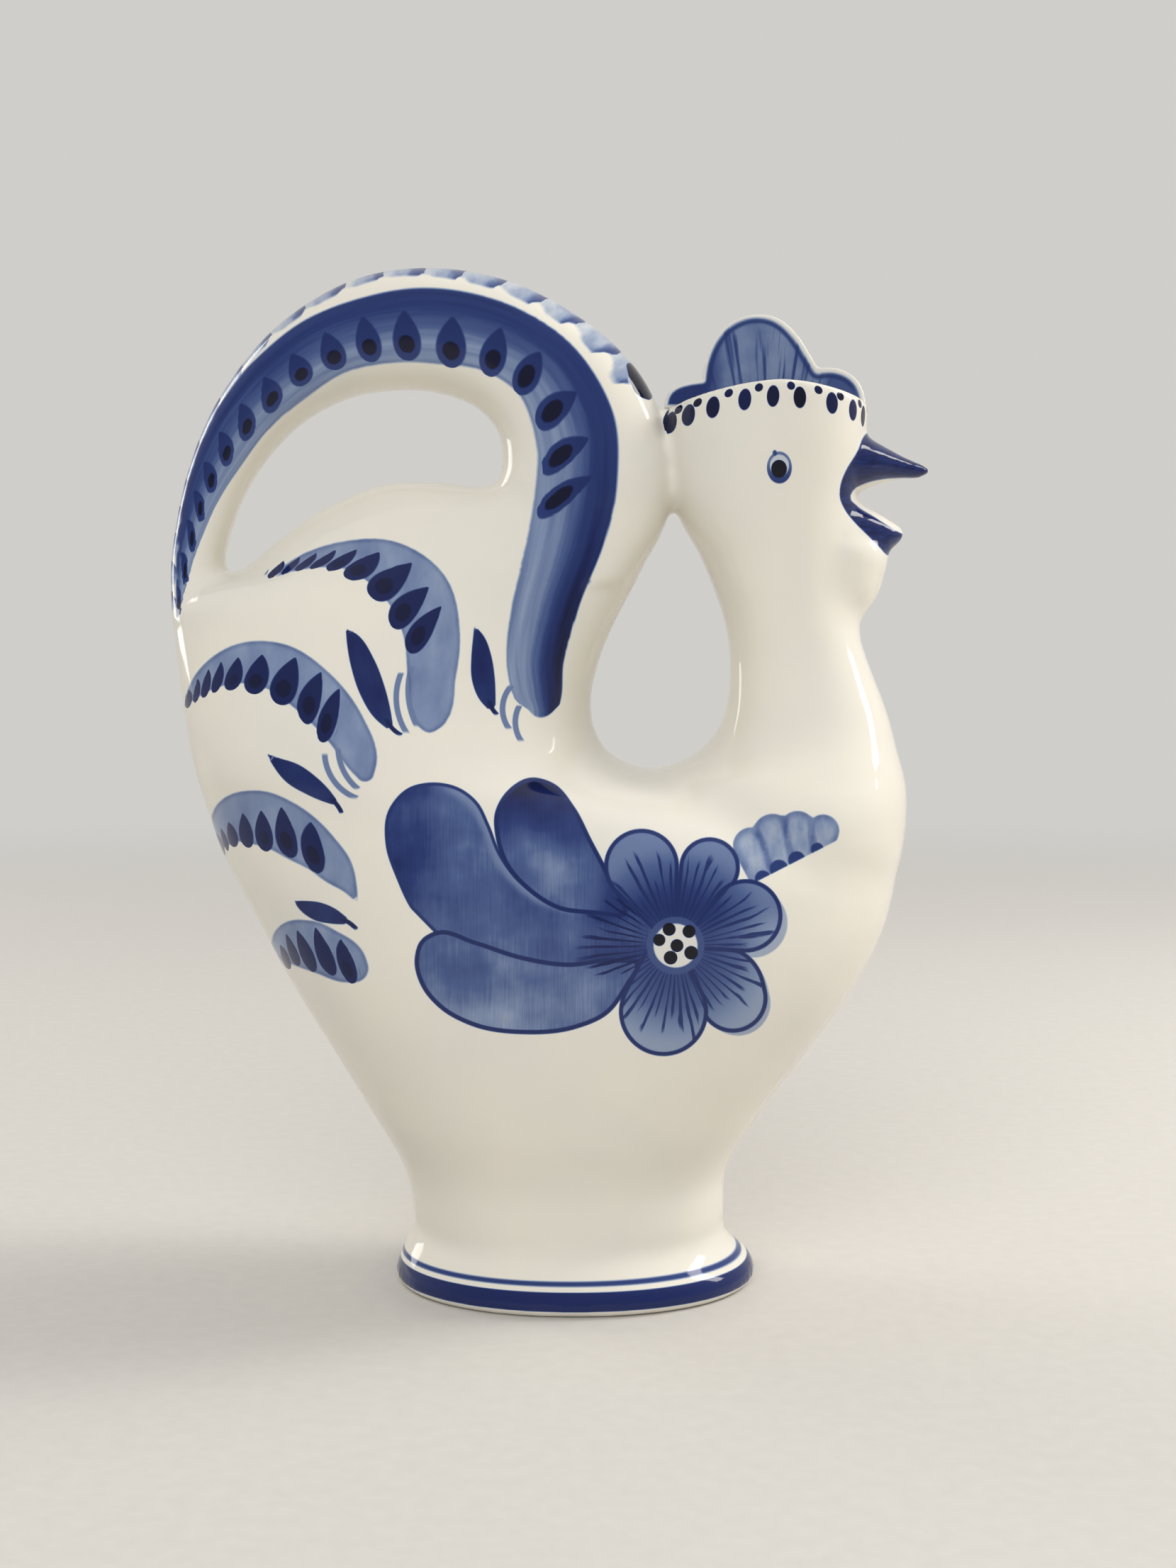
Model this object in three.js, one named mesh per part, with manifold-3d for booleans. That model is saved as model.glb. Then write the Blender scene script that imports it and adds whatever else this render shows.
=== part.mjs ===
// Rooster-shaped ceramic carafe: a hollow belly on a flared foot, a neck and head with an open mouth,
// an arched tail that serves as the handle, and a stopper that carries the comb.
// Millimetres. +Z is up, +X runs from the tail to the beak, and the left and right sides are alike in Y.
// Stations are measured from the middle of the foot; the finished group is moved so that its origin
// lies under the middle of the carafe's length.

import * as THREE from 'three';
import { mergeVertices } from 'three/addons/utils/BufferGeometryUtils.js';
import Module from 'manifold-3d';

const wasm = await Module();
wasm.setup();

// Walls and fits

const wall = 5; // belly, neck and tail
const lipWall = 3.2; // at the mouth
const ledgeWall = 6.5; // under the mouth, so that a ledge is left for the stopper
const joint = 0.3; // between pieces that are luted together
const stopperFit = 0.8; // round the stopper in the mouth
const plugWall = 3.5;

// Heights

const totalHeight = 250.8; // to the top of the tail
const seatHeight = 16; // the belly sits on the foot here
const breastSeam = 121; // the neck is joined to the belly here
const neckRoot = 127; // the neck stands free of the back from here up
const tailRoot = 158; // the tail grows out of the back from here up
const rimDrop = 33.8; // from the top of the tail to the front and back of the mouth
const rimHeight = totalHeight - rimDrop;
const rimRise = 4; // by which the sides of the mouth are higher
const ledgeDrop = 10; // from the rim to the ledge on which the stopper rests
const ledgeHeight = rimHeight - ledgeDrop;
const plugDepth = 13; // flange below the ledge
const stopperThickness = 4;

// Foot

const footLength = 89.6;
const footDepth = 72;
const footEdge = 5; // height of the upright edge
const footRounding = 1.2; // at the bottom of that edge
const footCove = 4.5; // between that edge and the waist
const footWall = 6;
const waistLength = 77.5;
const waistDepth = 61;
const waistShift = -1.6; // the waist lies a little behind the middle of the foot

// Comb and its tongue, which stands on the stopper

const combThickness = 5;
const combEdge = 1.4; // rounding of its edges
const combInset = 1.4; // from the ends of the head
const combHeight = 22.8; // middle lobe, above the rim
const combRearLobe = 6.5;
const combFrontLobe = 10.2;
const combTongue = 34; // length where it stands on the stopper

// Upright stations: height, back edge, front edge, half depth

const trunkStations = [
  [seatHeight, waistShift - waistLength / 2, waistShift + waistLength / 2, waistDepth / 2],
  [28, -42.6, 37.8, 32],
  [44, -51.2, 47, 39],
  [61, -61.4, 59.7, 45],
  [77, -71, 70.7, 49],
  [94, -80, 78, 50.5],
  [104, -85.4, 79, 50],
  [112, -88.8, 74, 48.4],
  [119, -91, 57, 46],
  [124, -92.6, 36, 44],
  [127.5, -93.6, 18.6, 42.5],
  [131.5, -94.5, 9.5, 41],
  [137, -95.6, 5.4, 39],
  [145, -96.8, 4, 36],
  [154, -98, 5.6, 32.8],
  [163, -99, 9, 29.6],
  [169, -99.2, 12, 27.2],
  [173, -94, 14.2, 25.5],
  [177, -83.5, 16.2, 23.8],
  [182, -76.6, 18.6, 21.6],
  [188, -69, 20.6, 18.6],
  [193.5, -60.2, 21, 14.6],
  [197, -51, 19.4, 10],
  [199, -42, 17, 5],
];
const trunkTop = trunkStations.at(-1)[0];

// The height of a share of the free neck, which ends at the rim
const upNeck = (share) => neckRoot + share * (rimHeight - neckRoot);

const neckStations = [
  [96, 0, 77, 34],
  [104, 5, 80, 36.5],
  [112, 10, 81.6, 37.5],
  [119, 14, 82, 36.6],
  [124, 16.5, 81.9, 34.4],
  [neckRoot, 19, 81.4, 32.4],
  [upNeck(0.035), 26.9, 80.5, 29.9],
  [upNeck(0.08), 32.8, 79.4, 26.9],
  [upNeck(0.13), 35.8, 78.3, 24.4],
  [upNeck(0.2), 37.8, 76.3, 21.9],
  [upNeck(0.27), 38.4, 73.8, 19.9],
  [upNeck(0.345), 38.2, 71.3, 18.5],
  [upNeck(0.43), 36.8, 69, 18],
  [upNeck(0.52), 34, 67.9, 18.4],
  [upNeck(0.61), 30.5, 67.6, 19.4],
  [upNeck(0.69), 26.3, 68.1, 20.7],
  [upNeck(0.78), 23, 69.2, 22.1],
  [upNeck(0.88), 21.7, 70.9, 23.4],
  [rimHeight, 21.4, 71.8, 24.2],
  [rimHeight + 2 * rimRise, 21.4, 72, 24.6],
];
const neckFoot = neckStations[0][0];
const neckTop = neckStations.at(-1)[0];

// Upright stations measured from the rim: height, back edge, front edge, half depth

const wattleStations = [
  [-53.2, 62, 68.6, 3],
  [-50, 58, 71.8, 8],
  [-46, 54, 74.6, 11.5],
  [-41, 51, 76.2, 14],
  [-36, 50, 77.2, 15],
  [-33, 50, 75.5, 14],
];

// Beak stations: distance forward, lower and upper edge measured from the rim, half depth

const upperBeakStations = [
  [58, -23, -5, 15],
  [66, -22, -5.4, 13.5],
  [71, -20, -6.6, 11],
  [76, -18, -9.1, 8],
  [81, -17.1, -11.7, 5],
  [85, -16.4, -13.6, 2.6],
  [86.7, -15.5, -14.4, 1],
];

const lowerBeakStations = [
  [58, -38, -23, 14],
  [66, -37.6, -22.4, 12.6],
  [71, -36.6, -23.6, 10],
  [75, -35.5, -25.6, 7.4],
  [79, -33.6, -28, 4.2],
  [81.2, -31, -29.6, 1.2],
];

// Tail stations: number, outer edge (forward, height), inner edge (forward, height), half depth.
// Heights are shares of the tail's rise, from its root to its top.

const tailStations = [
  [0, -98.4, 0, -82, 0, 13],
  [1, -99.5, 0.15, -86.2, 0.15, 10.5],
  [2, -98.9, 0.28, -86.4, 0.26, 9.2],
  [3, -94.9, 0.475, -80.6, 0.43, 10],
  [4, -87, 0.663, -70.6, 0.57, 12],
  [5, -73.2, 0.843, -59, 0.652, 14.5],
  [6, -55, 0.964, -48, 0.683, 16],
  [7, -36, 1, -36, 0.683, 16.6],
  [8, -16, 0.966, -26, 0.651, 17],
  [9, 2, 0.867, -20.4, 0.6, 17.4],
  [10, 15, 0.74, -17.9, 0.545, 18],
  [11, 22, 0.593, -17.6, 0.492, 18.6],
  [12, 24.4, 0.453, -18.6, 0.442, 19],
  [13, 22, 0.323, -20, 0.323, 18],
  [14, 14, 0.172, -20, 0.172, 18],
];
const tailEnd = tailStations.at(-1)[0];
const tailCrown = 7; // the station at the top

// The middle of the length, between the tail and the tip of the beak
const lengthMiddle = (tailStations[1][1] + upperBeakStations.at(-1)[0]) / 2;

// Materials

const glaze = (color) => new THREE.MeshStandardMaterial({ color, roughness: 0.15, metalness: 0 });
const ivory = glaze(0xebe6d8);
const cobalt = glaze(0x2a3a72);
const greyBlue = glaze(0x66758f);

// Solids from sections

// A smooth value along a list of stations, whose first column is the place of each.
function smooth(stations, column) {
  const places = stations.map((row) => row[0]);
  const values = stations.map((row) => row[column]);
  const curve = new THREE.CubicInterpolant(places, values, 1);
  return (place) => curve.evaluate(place)[0];
}

// Each of these turns stations into a section at any place: two ends in the XZ plane and a half depth.
function upright(stations) {
  const [back, front, depth] = [1, 2, 3].map((column) => smooth(stations, column));
  return (z) => ({ from: [back(z), z], to: [front(z), z], depth: depth(z) });
}

function forward(stations) {
  const [low, high, depth] = [1, 2, 3].map((column) => smooth(stations, column));
  return (x) => ({ from: [x, rimHeight + high(x)], to: [x, rimHeight + low(x)], depth: depth(x) });
}

function arched(stations) {
  const [ax, az, bx, bz, depth] = [1, 2, 3, 4, 5].map((column) => smooth(stations, column));
  const height = (share) => tailRoot + share * (totalHeight - tailRoot);
  return (n) => ({ from: [ax(n), height(az(n))], to: [bx(n), height(bz(n))], depth: depth(n) });
}

// The largest upright section that leaves a wall beside, above and below it.
function within(section, thickness) {
  return (z) => {
    const near = [z - thickness, z, z + thickness].map(section);
    return {
      from: [Math.max(...near.map(({ from }) => from[0])) + thickness, z],
      to: [Math.min(...near.map(({ to }) => to[0])) - thickness, z],
      depth: Math.min(...near.map(({ depth }) => depth)) - thickness,
    };
  };
}

// The points of a section as a rounded oval, grown by the given amount all round.
function ovalRing({ from, to, depth }, sides, power, grow) {
  const start = new THREE.Vector3(from[0], 0, from[1]);
  const end = new THREE.Vector3(to[0], 0, to[1]);
  const middle = start.clone().add(end).multiplyScalar(0.5);
  const half = end.clone().sub(start).multiplyScalar(0.5);
  half.setLength(half.length() + grow);
  const squash = (value) => Math.sign(value) * Math.abs(value) ** (2 / power);
  return Array.from({ length: sides }, (_, i) => {
    const angle = (i / sides) * 2 * Math.PI;
    const point = middle.clone().addScaledVector(half, squash(Math.cos(angle)));
    point.y = (depth + grow) * squash(Math.sin(angle));
    return point;
  });
}

// A closed skin over rings of points, with a fan over each end.
function skin(rings) {
  const sides = rings[0].length;
  const centre = (ring) => ring.reduce((sum, p) => sum.add(p), new THREE.Vector3()).divideScalar(sides);
  const points = [...rings.flat(), centre(rings[0]), centre(rings.at(-1))];
  const first = rings.length * sides;
  const triangles = [];
  for (let i = 0; i < sides; i++) {
    const next = (i + 1) % sides;
    for (let k = 0; k + 1 < rings.length; k++) {
      const low = k * sides;
      const high = low + sides;
      triangles.push(low + i, low + next, high + next, low + i, high + next, high + i);
    }
    const last = (rings.length - 1) * sides;
    triangles.push(first, next, i, first + 1, last + i, last + next);
  }
  const geometry = new THREE.BufferGeometry().setFromPoints(points);
  geometry.setIndex(triangles);
  return geometry;
}

// A closed mesh as a solid that can be joined and cut.
function solid(geometry) {
  geometry.deleteAttribute('normal');
  geometry.deleteAttribute('uv');
  const merged = mergeVertices(geometry, 1e-5);
  const mesh = new wasm.Mesh({
    numProp: 3,
    vertProperties: new Float32Array(merged.attributes.position.array),
    triVerts: new Uint32Array(merged.index.array),
  });
  return new wasm.Manifold(mesh);
}

// A solid through the sections from one place to another. Growing it moves its ends outwards as well.
function loft(section, from, to, { steps = 24, sides = 32, power = 2.2, grow = 0 } = {}) {
  const rings = [];
  for (let k = 0; k <= steps; k++) {
    const place = from + ((to - from) * k) / steps;
    rings.push(ovalRing(section(place), sides, power, grow));
  }
  const shift = (ring, other) => {
    const way = ring[0].clone().add(ring[sides / 2]).sub(other[0]).sub(other[sides / 2]);
    way.setLength(grow);
    ring.forEach((point) => point.add(way));
  };
  if (grow > 0) {
    shift(rings[0], rings[1]);
    shift(rings.at(-1), rings.at(-2));
  }
  return solid(skin(rings));
}

// An outline in the XZ plane, given thickness in Y and centred on the middle plane.
function plate(shape, thickness, bevel = 0) {
  const geometry = new THREE.ExtrudeGeometry(shape, {
    depth: thickness - 2 * bevel,
    curveSegments: 6,
    bevelEnabled: bevel > 0,
    bevelThickness: bevel,
    bevelSize: bevel,
    bevelOffset: -bevel,
    bevelSegments: 1,
  });
  geometry.translate(0, 0, bevel - thickness / 2);
  geometry.applyMatrix4(new THREE.Matrix4().makeRotationX(Math.PI / 2));
  return solid(geometry);
}

function piece(name, manifold, material) {
  const { vertProperties, triVerts } = manifold.getMesh();
  const geometry = new THREE.BufferGeometry();
  geometry.setAttribute('position', new THREE.BufferAttribute(vertProperties, 3));
  geometry.setIndex(new THREE.BufferAttribute(triVerts, 1));
  geometry.computeVertexNormals();
  const mesh = new THREE.Mesh(geometry, material);
  mesh.name = name;
  return mesh;
}

// Forms

const trunk = upright(trunkStations);
const neck = upright(neckStations);
const tail = arched(tailStations);

const trunkForm = loft(trunk, seatHeight, trunkTop, { steps: 40, sides: 32 });
const neckForm = (grow = 0) => loft(neck, neckFoot, neckTop, { steps: 32, sides: 28, grow });
const tailForm = loft(tail, 0, tailEnd, { steps: 36, sides: 18, power: 2.6 });
const wattleForm = loft(upright(wattleStations), wattleStations[0][0], wattleStations.at(-1)[0], {
  steps: 7,
  sides: 18,
}).translate([0, 0, rimHeight]);
const beakForm = (stations, grow = 0) =>
  loft(forward(stations), stations[0][0], stations.at(-1)[0], { steps: 8, sides: 14, power: 2, grow });

// The hollow inside, open through the neck up to the ledge and on into the tail.
const cavityTop = trunkTop - 2 * wall;
const throatFoot = ledgeHeight - plugDepth - wall;
const trunkHollow = loft(within(trunk, wall), seatHeight + wall, cavityTop, { steps: 20, sides: 18 });
const neckHollow = loft(within(neck, wall), neckFoot, throatFoot + wall, { steps: 14, sides: 18 });
const throatHollow = loft(neck, throatFoot, neckTop, { steps: 6, sides: 24, grow: -ledgeWall });
const mouthHollow = loft(neck, ledgeHeight, neckTop, { steps: 4, sides: 28, grow: -lipWall });
const tailHollow = loft(tail, 0, tailEnd, { steps: 22, sides: 10, power: 2.6, grow: -wall });

// Everything above the lip, whose sides are higher than its front and back.
function aboveLip() {
  const { to, depth } = neck(rimHeight);
  const reach = to[0];
  const edge = rimRise * (reach / depth) ** 2;
  const shape = new THREE.Shape();
  shape.moveTo(-reach, edge);
  shape.quadraticCurveTo(0, -edge, reach, edge);
  shape.lineTo(reach, edge + reach);
  shape.lineTo(-reach, edge + reach);
  const options = { depth: 2 * reach, bevelEnabled: false, curveSegments: 32 };
  const geometry = new THREE.ExtrudeGeometry(shape, options);
  geometry.rotateX(Math.PI / 2);
  geometry.rotateZ(Math.PI / 2);
  geometry.translate(-reach / 2, 0, rimHeight);
  return solid(geometry);
}

// A slab over the whole depth above a line of points, which is moved back and down by the given gap.
function above(line, gap) {
  const ceiling = totalHeight + wall;
  const shape = new THREE.Shape();
  line.forEach(([x, z], i) => (i ? shape.lineTo(x - gap, z - gap) : shape.moveTo(x - gap, z - gap)));
  shape.lineTo(line.at(-1)[0], ceiling);
  shape.lineTo(line[0][0], ceiling);
  return plate(shape, 2 * footDepth);
}

// The tail is joined to the back along this line, which crosses the finger loop: forward, height.
const loopMiddle = (trunkTop + tail(tailCrown).to[1]) / 2;
const tailSeam = [
  [-120, 176],
  [-84, 180],
  [-40, loopMiddle],
  [-10, 196],
  [23, 193],
  [60, 193],
];

// The neck is joined to the breast, and parted from the back by the gap behind it, along this line.
const neckSeam = [
  [10, 195],
  [23.6, 190.9],
  [22, 145],
  [18.6, breastSeam],
  [140, breastSeam],
];

const aboveSeam = (gap = 0) => above(tailSeam, gap);
const aboveBreast = (gap = 0) => above(neckSeam, gap);

// Pieces

function footRing() {
  const top = seatHeight - joint;
  const bottom = 2 * footRounding;
  const edgeLine = [
    [0, footLength - bottom, footDepth - bottom, 0],
    [footRounding, footLength, footDepth, 0],
    [footEdge, footLength - footRounding / 2, footDepth - footRounding / 2, 0],
    [footEdge + footCove, waistLength + footCove, waistDepth + footCove, waistShift],
    [top, waistLength, waistDepth, waistShift],
  ];
  const stations = edgeLine.map(([z, length, depth, x]) => [z, x - length / 2, x + length / 2, depth / 2]);
  const outside = loft(upright(stations), 0, top, { steps: 9, sides: 32, power: 2.1 });
  const hollow = { steps: 6, sides: 24, power: 2.1, grow: -footWall };
  const inside = loft(upright(stations), -joint, seatHeight, hollow);
  return outside.subtract(inside);
}

function bellyShell() {
  const outside = trunkForm.add(tailForm).add(neckForm());
  const hollow = trunkHollow.add(neckHollow).add(tailHollow);
  return outside.subtract(aboveSeam(joint)).subtract(aboveBreast(joint)).subtract(hollow);
}

function neckShell() {
  const hollow = trunkHollow.add(neckHollow).add(throatHollow).add(mouthHollow);
  return neckForm().intersect(aboveBreast()).subtract(aboveLip()).subtract(hollow);
}

function tailHandle() {
  return tailForm.intersect(aboveSeam()).subtract(neckForm(joint)).subtract(tailHollow);
}

const upperBeak = () => beakForm(upperBeakStations).subtract(neckForm(joint));
const lowerBeak = () => beakForm(lowerBeakStations).subtract(neckForm(joint));
const wattle = () => wattleForm.subtract(neckForm(joint)).subtract(beakForm(lowerBeakStations, joint));

// An oval lid on the ledge, with a hollow flange that follows the throat below it.
function stopperPlug() {
  const under = ledgeHeight + joint;
  const low = ledgeHeight - plugDepth;
  const inset = ledgeWall + stopperFit;
  const seat = () => neck(ledgeHeight);
  const level = (z) => ({ ...seat(), from: [seat().from[0], z], to: [seat().to[0], z] });
  const lidFit = -lipWall - stopperFit;
  const lid = loft(level, under, under + stopperThickness, { steps: 1, sides: 28, grow: lidFit });
  const flange = loft(neck, low, under + stopperThickness / 2, { steps: 4, sides: 24, grow: -inset });
  const inside = loft(neck, low - joint, under, { steps: 4, sides: 20, grow: -inset - plugWall });
  return lid.add(flange).subtract(inside);
}

// Three lobes over the lip, and a tongue down to the stopper.
function comb() {
  const { from, to } = neck(rimHeight);
  const middle = (from[0] + to[0]) / 2;
  const end = (to[0] - from[0]) / 2 - combInset;
  const foot = ledgeHeight + stopperThickness + 2 * joint;
  // Each curve's two handles and its end: forward of the middle, above the rim.
  const lobes = [
    [-end, combRearLobe - 1.5, -21.5, combRearLobe - 0.3, -15.4, combRearLobe + 0.3],
    [-14.6, combHeight - 6, -9.5, combHeight, -1.4, combHeight],
    [6.2, combHeight, 9.2, combHeight - 9, 13, combFrontLobe - 0.5],
    [16.5, combFrontLobe + 0.4, end, combFrontLobe - 0.6, end, joint],
  ];
  const place = (numbers) => numbers.map((value, i) => value + (i % 2 ? rimHeight : middle));
  const shape = new THREE.Shape();
  shape.moveTo(middle - end, rimHeight + joint);
  lobes.forEach((curve) => shape.bezierCurveTo(...place(curve)));
  shape.lineTo(middle + combTongue / 2, rimHeight + joint);
  shape.lineTo(middle + combTongue / 2, foot);
  shape.lineTo(middle - combTongue / 2, foot);
  shape.lineTo(middle - combTongue / 2, rimHeight + joint);
  return plate(shape, combThickness, combEdge);
}

const carafe = new THREE.Group();
carafe.position.x = -lengthMiddle;
carafe.add(
  piece('foot_ring', footRing(), ivory),
  piece('belly_shell', bellyShell(), ivory),
  piece('neck_shell', neckShell(), ivory),
  piece('tail_handle', tailHandle(), ivory),
  piece('upper_beak', upperBeak(), cobalt),
  piece('lower_beak', lowerBeak(), cobalt),
  piece('wattle', wattle(), ivory),
  piece('stopper_plug', stopperPlug(), ivory),
  piece('comb', comb(), greyBlue),
);

export default carafe;
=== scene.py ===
# Looks of a rooster-shaped ceramic carafe: a glazed, painted body, and a stopper that carries the comb.
# Sizes are in millimetres from the middle of the foot, and meshes are in metres in the part's own frame.
# The ornament is laid out on a drawing of the carafe's side, in pixels of the photograph's 1659 x 2212
# frame. Each point of the surface takes the place where that drawing shows it, and both sides are alike.

import math

import bpy
import numpy as np
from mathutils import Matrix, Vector


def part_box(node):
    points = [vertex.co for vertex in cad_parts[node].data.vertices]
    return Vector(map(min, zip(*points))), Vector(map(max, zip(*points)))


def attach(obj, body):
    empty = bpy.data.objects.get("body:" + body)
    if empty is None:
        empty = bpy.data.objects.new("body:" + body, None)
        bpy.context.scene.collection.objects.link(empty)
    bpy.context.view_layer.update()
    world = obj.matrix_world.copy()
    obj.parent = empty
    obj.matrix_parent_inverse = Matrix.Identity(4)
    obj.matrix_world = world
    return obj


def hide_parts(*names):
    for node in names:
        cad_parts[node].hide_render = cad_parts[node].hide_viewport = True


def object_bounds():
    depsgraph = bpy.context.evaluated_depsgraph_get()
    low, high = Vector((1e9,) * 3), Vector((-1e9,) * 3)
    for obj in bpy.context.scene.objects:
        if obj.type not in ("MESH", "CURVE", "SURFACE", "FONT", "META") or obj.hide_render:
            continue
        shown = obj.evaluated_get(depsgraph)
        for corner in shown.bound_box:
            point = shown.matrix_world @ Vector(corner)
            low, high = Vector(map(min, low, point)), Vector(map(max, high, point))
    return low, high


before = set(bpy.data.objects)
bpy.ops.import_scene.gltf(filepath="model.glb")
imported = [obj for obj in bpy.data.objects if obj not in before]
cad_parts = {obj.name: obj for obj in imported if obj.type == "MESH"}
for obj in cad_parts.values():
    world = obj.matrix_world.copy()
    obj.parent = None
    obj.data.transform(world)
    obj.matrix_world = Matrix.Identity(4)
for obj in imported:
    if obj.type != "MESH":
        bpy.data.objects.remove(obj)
cad_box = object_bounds()

# Sizes from the frame

MM = 0.001
foot_low, foot_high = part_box("foot_ring")
FOOT_MIDDLE = (foot_low.x + foot_high.x) / 2 / MM  # forward of the part's origin
TOP = cad_box[1].z / MM
RIM = TOP - 33.8  # front and back of the mouth
RIM_RISE = 4.8  # by which the sides of the mouth are higher
LIP_PEAK = 0.1  # the lip's highest place, forward of the mouth's middle by this share of its half length
LIP_CURVE = 1.6  # power of the lip's fall from there
MOUTH_BACK, MOUTH_FRONT = 21.4, 71.8
MOUTH_MIDDLE = (MOUTH_BACK + MOUTH_FRONT) / 2
MOUTH_HALF = (MOUTH_FRONT - MOUTH_BACK) / 2
LEDGE = RIM - 10  # the stopper rests here
BELLY_FLOOR = 21  # the hollow of the belly starts here
NECK_ROOT = 127
TAIL_ROOT = 158

# Walls and fits

WALL = 5
LIP_WALL = 3
LIP_ROUND = 1.8  # depth below the lip's top over which it is rounded
LIP_MARGIN = 0.4  # by which the rounding goes past the wall
LIP_START, LIP_FADE = 2, 3  # it begins this far in front of the mouth's back, and fades in over this length
LEDGE_WALL = 6.5
STOPPER_FIT = 0.8
PLUG_WALL = 3.5
PLUG_DEPTH = 13
LID = 4
LID_GAP = 0.2  # between the lid and the ledge
COMB_HALF = 2.5  # half of its thickness
COMB_HEIGHT = 22.8
COMB_INSET = 0.5
COMB_TONGUE = 34
COMB_SINK = 0.4  # depth of the tongue's foot in the lid
SKIN = 1.4  # a vertex deeper than this under the outside counts as inside the vessel

# Powers of the rounded ovals, of which 2 is an ellipse

OVAL = 2.2
FOOT_OVAL = 2.1
TAIL_OVAL = 2.6
BEAK_OVAL = 2

# Mesh sizes

BODY_VOXEL = 1.1
FINE_VOXEL = 0.55
BODY_SOFTENING = 10
FINE_SOFTENING = 4
CREASE_ROUNDS = 120
BREAST_ROUNDS = 320
CREASE_FILL = 0.8  # share of a hollow that each round fills
TINY = 1e-9  # keeps a divisor from being nothing

# Stations of the belly and the neck: height, back edge, front edge, half depth


def up_neck(share):
    """The height of a share of the free neck, which ends at the rim."""
    return NECK_ROOT + share * (RIM - NECK_ROOT)


TRUNK = [
    (14, -40, 36.8, 30.2), (16, -40.35, 37.15, 30.5), (28, -42.6, 37.8, 32), (44, -51.2, 47, 39),
    (61, -61.4, 59.7, 45), (77, -71, 70.7, 49), (94, -80, 78, 50.5), (104, -85.4, 79, 50),
    (112, -88.8, 74, 48.4), (119, -91, 57, 46), (124, -92.6, 36, 44), (127.5, -93.6, 18.6, 42.5),
    (131.5, -94.5, 9.5, 41), (137, -95.6, 5.4, 39), (145, -96.8, 4, 36), (154, -98, 5.6, 32.8),
    (163, -99, 9, 29.6), (169, -99.2, 12, 27.2), (173, -94, 14.2, 25.5), (177, -83.5, 16.2, 23.8),
    (182, -76.6, 18.6, 21.6), (188, -69, 20.6, 18.6), (193.5, -60.2, 14, 14.6), (197, -52, -18, 10),
    (199, -46, -32, 5),
]
NECK = [
    (96, 0, 77, 34), (104, 5, 80, 36.5), (112, 10, 81.6, 37.5), (119, 14, 82, 36.6),
    (124, 16.5, 81.9, 34.4), (NECK_ROOT, 19, 81.4, 32.4), (up_neck(0.035), 26.9, 80.5, 29.9),
    (up_neck(0.08), 32.8, 79.4, 26.9), (up_neck(0.13), 35.8, 78.3, 24.4), (up_neck(0.2), 37.8, 76.3, 21.9),
    (up_neck(0.27), 38.4, 73.8, 19.9), (up_neck(0.345), 38.2, 71.3, 18.5), (up_neck(0.43), 36.8, 69, 18),
    (up_neck(0.52), 34, 67.9, 18.4), (up_neck(0.61), 30.5, 67.6, 19.4), (up_neck(0.69), 26.3, 68.1, 20.7),
    (up_neck(0.78), 23, 69.2, 22.1), (up_neck(0.88), 21.7, 70.9, 23.4), (RIM, MOUTH_BACK, MOUTH_FRONT, 24.2),
    (RIM + 9, MOUTH_BACK, 72, 24.8),
]
FOOT = [
    (0, -43.6, 43.6, 34.8), (1.2, -44.8, 44.8, 36), (5, -44.5, 44.5, 35.7), (9.5, -42.6, 39.4, 32.8),
    (12.5, -41, 37.6, 30.9), (16, -40.35, 37.15, 30.5),
]
FOOT_RECESS = [(-2, -37, 37, 28.5), (9, -34, 31, 25)]

# Wattle and beak, measured from the rim: height or distance forward, two edges, half depth

WATTLE = [
    (-54, 58, 67.6, 5), (-50, 53, 71.8, 10.5), (-46, 49, 74.6, 13), (-41, 47, 76.2, 14.4),
    (-36, 46, 77.2, 15), (-33, 46, 76, 15),
]
UPPER_BEAK = [
    (65.5, -22, -5.4, 13.6), (71, -20, -6.6, 11), (76, -18, -9.1, 8), (81, -17.1, -11.7, 5),
    (85, -16.8, -13.3, 3), (87.2, -16.2, -14.1, 1.8),
]
LOWER_BEAK = [
    (65.5, -37.6, -22.4, 12.7), (71, -36.6, -23.6, 10), (75, -35.5, -25.6, 7.6), (79, -33.6, -28, 4.6),
    (81.4, -31.2, -29.5, 1.8),
]

# Tail: number, outer edge (forward, height), inner edge (forward, height), half depth.
# Heights are shares of the tail's rise.

TAIL = [
    (0, -98.4, 0, -82, 0, 13), (1, -99.5, 0.15, -86.2, 0.15, 10.5), (2, -98.9, 0.28, -86.4, 0.26, 9.2),
    (3, -94.9, 0.475, -80.6, 0.43, 10), (4, -87, 0.663, -70.6, 0.57, 12), (5, -73.2, 0.843, -59, 0.652, 14.5),
    (6, -55, 0.964, -48, 0.683, 16), (7, -36, 1, -36, 0.683, 16.6), (8, -16, 0.966, -26, 0.651, 17),
    (9, 2, 0.867, -20.4, 0.6, 17.4), (10, 15, 0.74, -17.9, 0.545, 18), (11, 22, 0.593, -17.6, 0.492, 18.6),
    (12, 24.4, 0.453, -18.6, 0.442, 19), (13, 22, 0.323, -20, 0.323, 18), (14, 14, 0.172, -20, 0.172, 18),
]

# Comb: each curve's two handles and its end, forward of the middle and above the rim

COMB_END = MOUTH_HALF - COMB_INSET
COMB_CURVES = [
    (-COMB_END, 5, -21.5, 6.2, -15.4, 6.8),
    (-14.6, COMB_HEIGHT - 6, -9.5, COMB_HEIGHT, -1.4, COMB_HEIGHT),
    (6.8, COMB_HEIGHT, 9.8, 14.3, 13, 9.7),
    (16.5, 10.6, COMB_END, 9.6, COMB_END, 0),
]

# Where forms flow into each other: place in the middle plane, reach and strength

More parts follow.
